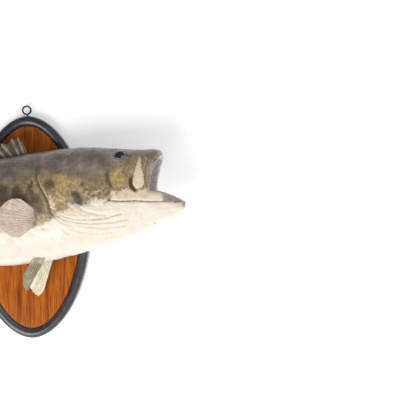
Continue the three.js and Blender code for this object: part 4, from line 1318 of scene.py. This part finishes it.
def eyePiece(name, side, material, node):
    shape = bmesh.new()
    bmesh.ops.create_uvsphere(shape, u_segments=56, v_segments=36, radius=1)
    layer = shape.verts.layers.float.new("radius")
    for vert in shape.verts:
        vert[layer] = math.hypot(vert.co.x, vert.co.y) * eye["radius"] / 9.3
    centre, across, faceOut, tall = eyeBasis(side)
    turn = Matrix([across, tall, faceOut]).transposed().to_4x4()
    size = Matrix.Diagonal((eye["radius"] * mm, eye["radius"] * eye["squash"] * mm,
                            eye["bulge"] * mm, 1))
    bmesh.ops.transform(shape, matrix=Matrix.Translation(centre) @ turn @ size, verts=shape.verts)
    bmesh.ops.recalc_face_normals(shape, faces=shape.faces)
    return fitPiece(finished(name, shape), material, "glass_eye", node)


eyeFinish = glassEye()
eyePiece("eyeRight", 1, eyeFinish, "eye_right")
eyePiece("eyeLeft", -1, eyeFinish, "eye_left")

tongueShape = {"along": 46, "up": -43, "halfLength": 32, "halfWidth": 15, "halfHeight": 6,
               "slope": math.radians(-9)}


def tonguePiece(spec):
    _, back, up, out = frameAt(spec["along"])
    shape = bmesh.new()
    bmesh.ops.create_uvsphere(shape, u_segments=64, v_segments=40, radius=1)
    for vert in shape.verts:  # a shallow groove down the middle, and a blunt tip
        furrow = 0.14 * math.exp(-(vert.co.y / 0.12) ** 2) * max(vert.co.z, 0)
        vert.co.z -= furrow
        vert.co.y *= 1 - 0.25 * max(vert.co.x, 0)
    slope = Matrix.Rotation(spec["slope"], 3, Vector(out))
    axes = [slope @ Vector(back), -Vector(out), slope @ Vector(up)]
    turn = Matrix([list(a) for a in axes]).transposed().to_4x4()
    size = Matrix.Diagonal((spec["halfLength"] * mm, spec["halfWidth"] * mm,
                            spec["halfHeight"] * mm, 1))
    middle = Vector(onFish(spec["along"], spec["up"], 0.0))
    bmesh.ops.transform(shape, matrix=Matrix.Translation(middle) @ turn @ size, verts=shape.verts)
    bmesh.ops.recalc_face_normals(shape, faces=shape.faces)
    return fitPiece(finished("tongue", shape), mouthLining(), "mouth_lining", "tongue")


tonguePiece(tongueShape)
print("eyes and tongue")


# Plaque and screw eye

def plaqueRim():
    turn = np.linspace(0, 2 * math.pi, plaque["steps"] + 1)
    section = smoothLine(plaque["rimSection"][1:-2], steps=3)
    profile = [(0, 0), *section, *plaque["rimSection"][-2:], (0, 0)]
    points = np.stack([ovalPoint(turn, inset, fromWall) for inset, fromWall in profile])
    return fitPiece(sheetMesh("plaqueRim", points), ebonisedRim(), "plaque_rim", "plaque_rim")


def plaquePanel():
    turn = np.linspace(0, 2 * math.pi, plaque["steps"] + 1)
    edge, front = plaque["rimWidth"] + 0.3, plaque["fieldFront"]
    profile = [(edge, 0), (edge, front - 0.8), (edge + 0.25, front - 0.25), (edge + 0.8, front)]
    profile += [(edge + inset, front) for inset in (3, 12, 28, 50)]
    points = [ovalPoint(turn, inset, fromWall) for inset, fromWall in profile]
    frontMiddle = ovalPoint(turn, plaque["halfWidth"] - 0.001, front)
    backMiddle = ovalPoint(turn, plaque["halfWidth"] - 0.001, 0)
    middle = lambda ring: 0 * ring + ring[:-1].mean(0)
    points = np.stack([middle(points[0]), *points, middle(points[-1])])
    return fitPiece(sheetMesh("plaquePanel", points), stainedWood(), "plaque_wood", "plaque_panel")


screwEye = {"ringRadius": 6, "wire": 2.5, "shankDepth": 9, "fromWall": 9.5,
            "lean": math.radians(7), "riseAboveEdge": 8.6, "mouth": math.radians(7)}


# A wire ring bent from the shank, its end butted against it.
def screwEyePiece(spec):
    top = Vector(ovalPoint(np.array(math.pi / 2), 0, spec["fromWall"]))
    turn = plaque["tilt"] + spec["lean"]
    upright = Vector((-math.sin(turn), 0, math.cos(turn)))
    centre = top + upright * spec["riseAboveEdge"] * mm
    radius, wire = spec["ringRadius"] * mm, spec["wire"] / 2 * mm
    shape = bmesh.new()
    first = bmesh.ops.create_circle(shape, cap_ends=True, segments=20, radius=wire)["verts"]
    stand = Matrix.Translation(top - upright * spec["shankDepth"] * mm) @ upright.to_track_quat(
        "Z", "Y").to_matrix().to_4x4()
    bmesh.ops.transform(shape, matrix=stand, verts=first)
    cap = [f for f in shape.faces if len(f.verts) == 20]
    lift = (spec["shankDepth"] + spec["riseAboveEdge"] - spec["ringRadius"] - 1.2) * mm
    raised = bmesh.ops.extrude_face_region(shape, geom=cap)["geom"]
    verts = [v for v in raised if isinstance(v, bmesh.types.BMVert)]
    bmesh.ops.translate(shape, vec=upright * lift, verts=verts)
    # the wire leaves the shank sideways and runs round the ring
    ringStart = bmesh.ops.create_circle(shape, cap_ends=True, segments=20, radius=wire)["verts"]
    bottom = centre - upright * radius
    sideways = Vector((upright.z, 0, -upright.x))
    seat = Matrix.Translation(bottom) @ sideways.to_track_quat("Z", "Y").to_matrix().to_4x4()
    bmesh.ops.transform(shape, matrix=seat, verts=ringStart)
    ringFace = [f for v in ringStart for f in v.link_faces][:1]
    bmesh.ops.spin(shape, geom=list(ringFace) + ringStart, cent=centre, axis=Vector((0, -1, 0)),
                   angle=2 * math.pi - spec["mouth"], steps=56)
    bmesh.ops.remove_doubles(shape, verts=shape.verts, dist=1e-6)
    bmesh.ops.recalc_face_normals(shape, faces=shape.faces)
    return fitPiece(finished("screwEye", shape), blackenedSteel(), "black_steel", "screw_eye")


plaqueRim()
plaquePanel()
screwEyePiece(screwEye)
print("plaque and screw eye")


# Wall, light and camera

def paleWall():
    material, tree, shader = newMaterial("paleWall", 0.9, Emission_Strength=0.3,
                                         Emission_Color=hexColour("#ffffff"))
    shader.inputs["Base Color"].default_value = hexColour("#fbfbfb")
    place = addNode(tree, "ShaderNodeTexCoord").outputs["Object"]
    texture = addNode(tree, "ShaderNodeTexNoise", {"Vector": place, "Scale": 400, "Detail": 3})
    rise = addNode(tree, "ShaderNodeBump",
                   {"Strength": 0.05, "Distance": 0.0005, "Height": texture.outputs["Fac"]})
    tree.links.new(rise.outputs["Normal"], shader.inputs["Normal"])
    # seen from behind it isn't there
    clear = addNode(tree, "ShaderNodeBsdfTransparent")
    facing = addNode(tree, "ShaderNodeNewGeometry").outputs["Backfacing"]
    mix = addNode(tree, "ShaderNodeMixShader",
                  {0: facing, 1: shader.outputs[0], 2: clear.outputs[0]})
    tree.links.new(mix.outputs[0], tree.nodes["Material Output"].inputs["Surface"])
    return material


room = {"wallHalf": 3.0, "floorDrop": 1.25, "floorDepth": 3.0, "corner": 0.3}


def backdrop(material):
    shape = bmesh.new()
    bmesh.ops.create_grid(shape, x_segments=2, y_segments=30, size=0.5)
    for vert in shape.verts:
        run = (vert.co.y + 0.5) * 3
        bend = room["corner"]
        across = vert.co.x * 2 * room["wallHalf"]
        if run < 1:
            at = (across, -bend - (1 - run) * room["floorDepth"], -room["floorDrop"])
        elif run < 2:
            turn = (run - 1) * math.pi / 2
            at = (across, -bend + bend * math.sin(turn),
                  -room["floorDrop"] + bend * (1 - math.cos(turn)))
        else:
            at = (across, 0, -room["floorDrop"] + bend + (run - 2) * room["wallHalf"])
        vert.co = at
    for face in shape.faces:
        face.normal_update()
    piece = finished("wallAndFloor", shape)
    piece.data.materials.append(material)
    middle = max(piece.data.polygons, key=lambda face: face.center.z)
    if middle.normal.y > 0:
        piece.data.flip_normals()
    piece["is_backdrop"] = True
    return piece


backdrop(paleWall())


def softLight(name, at, target, size, power, colour="#ffffff"):
    lamp = bpy.data.lights.new(name, "AREA")
    lamp.shape, lamp.size, lamp.size_y = "RECTANGLE", size[0], size[1]
    lamp.energy, lamp.color = power, hexColour(colour)[:3]
    piece = bpy.data.objects.new(name, lamp)
    bpy.context.scene.collection.objects.link(piece)
    piece.location = at
    piece.rotation_euler = (Vector(target) - Vector(at)).to_track_quat("-Z", "Y").to_euler()
    return piece


softLight("keyLight", (-0.5, -1.4, -0.75), (0.05, -0.05, 0.03), (1.0, 0.8), 16.5, "#fffaf2")
softLight("fillLight", (1.2, -1.9, 0.3), (0.1, -0.05, 0.0), (1.8, 1.8), 13, "#f4f8ff")
bpy.context.scene.view_settings.view_transform = "Standard"  # whites stay white
world = bpy.data.worlds.new("paleRoom")
bpy.context.scene.world = world
world.use_nodes = True
world.node_tree.nodes["Background"].inputs[0].default_value = hexColour("#f2f4f8")
world.node_tree.nodes["Background"].inputs[1].default_value = 0.3

view = {"place": (0.2506, -1.6190, 0.0397), "focal": 1088.4, "picture": 400, "sensor": 36}
camera = bpy.data.cameras.new("camera")
camera.sensor_width = view["sensor"]
camera.lens = view["focal"] / view["picture"] * view["sensor"]
cameraStand = bpy.data.objects.new("camera", camera)
cameraStand.location = view["place"]
cameraStand.rotation_euler = (math.pi / 2, 0, 0)
bpy.context.scene.collection.objects.link(cameraStand)
bpy.context.scene.camera = cameraStand

triangles = 0
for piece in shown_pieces():
    count = sum(len(face.vertices) - 2 for face in piece.data.polygons)
    triangles += count
    print(piece.name, count)
print("triangles", triangles)
({"cad": [list(corner) for corner in cadBox],
           "made": [list(corner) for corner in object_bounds()]})
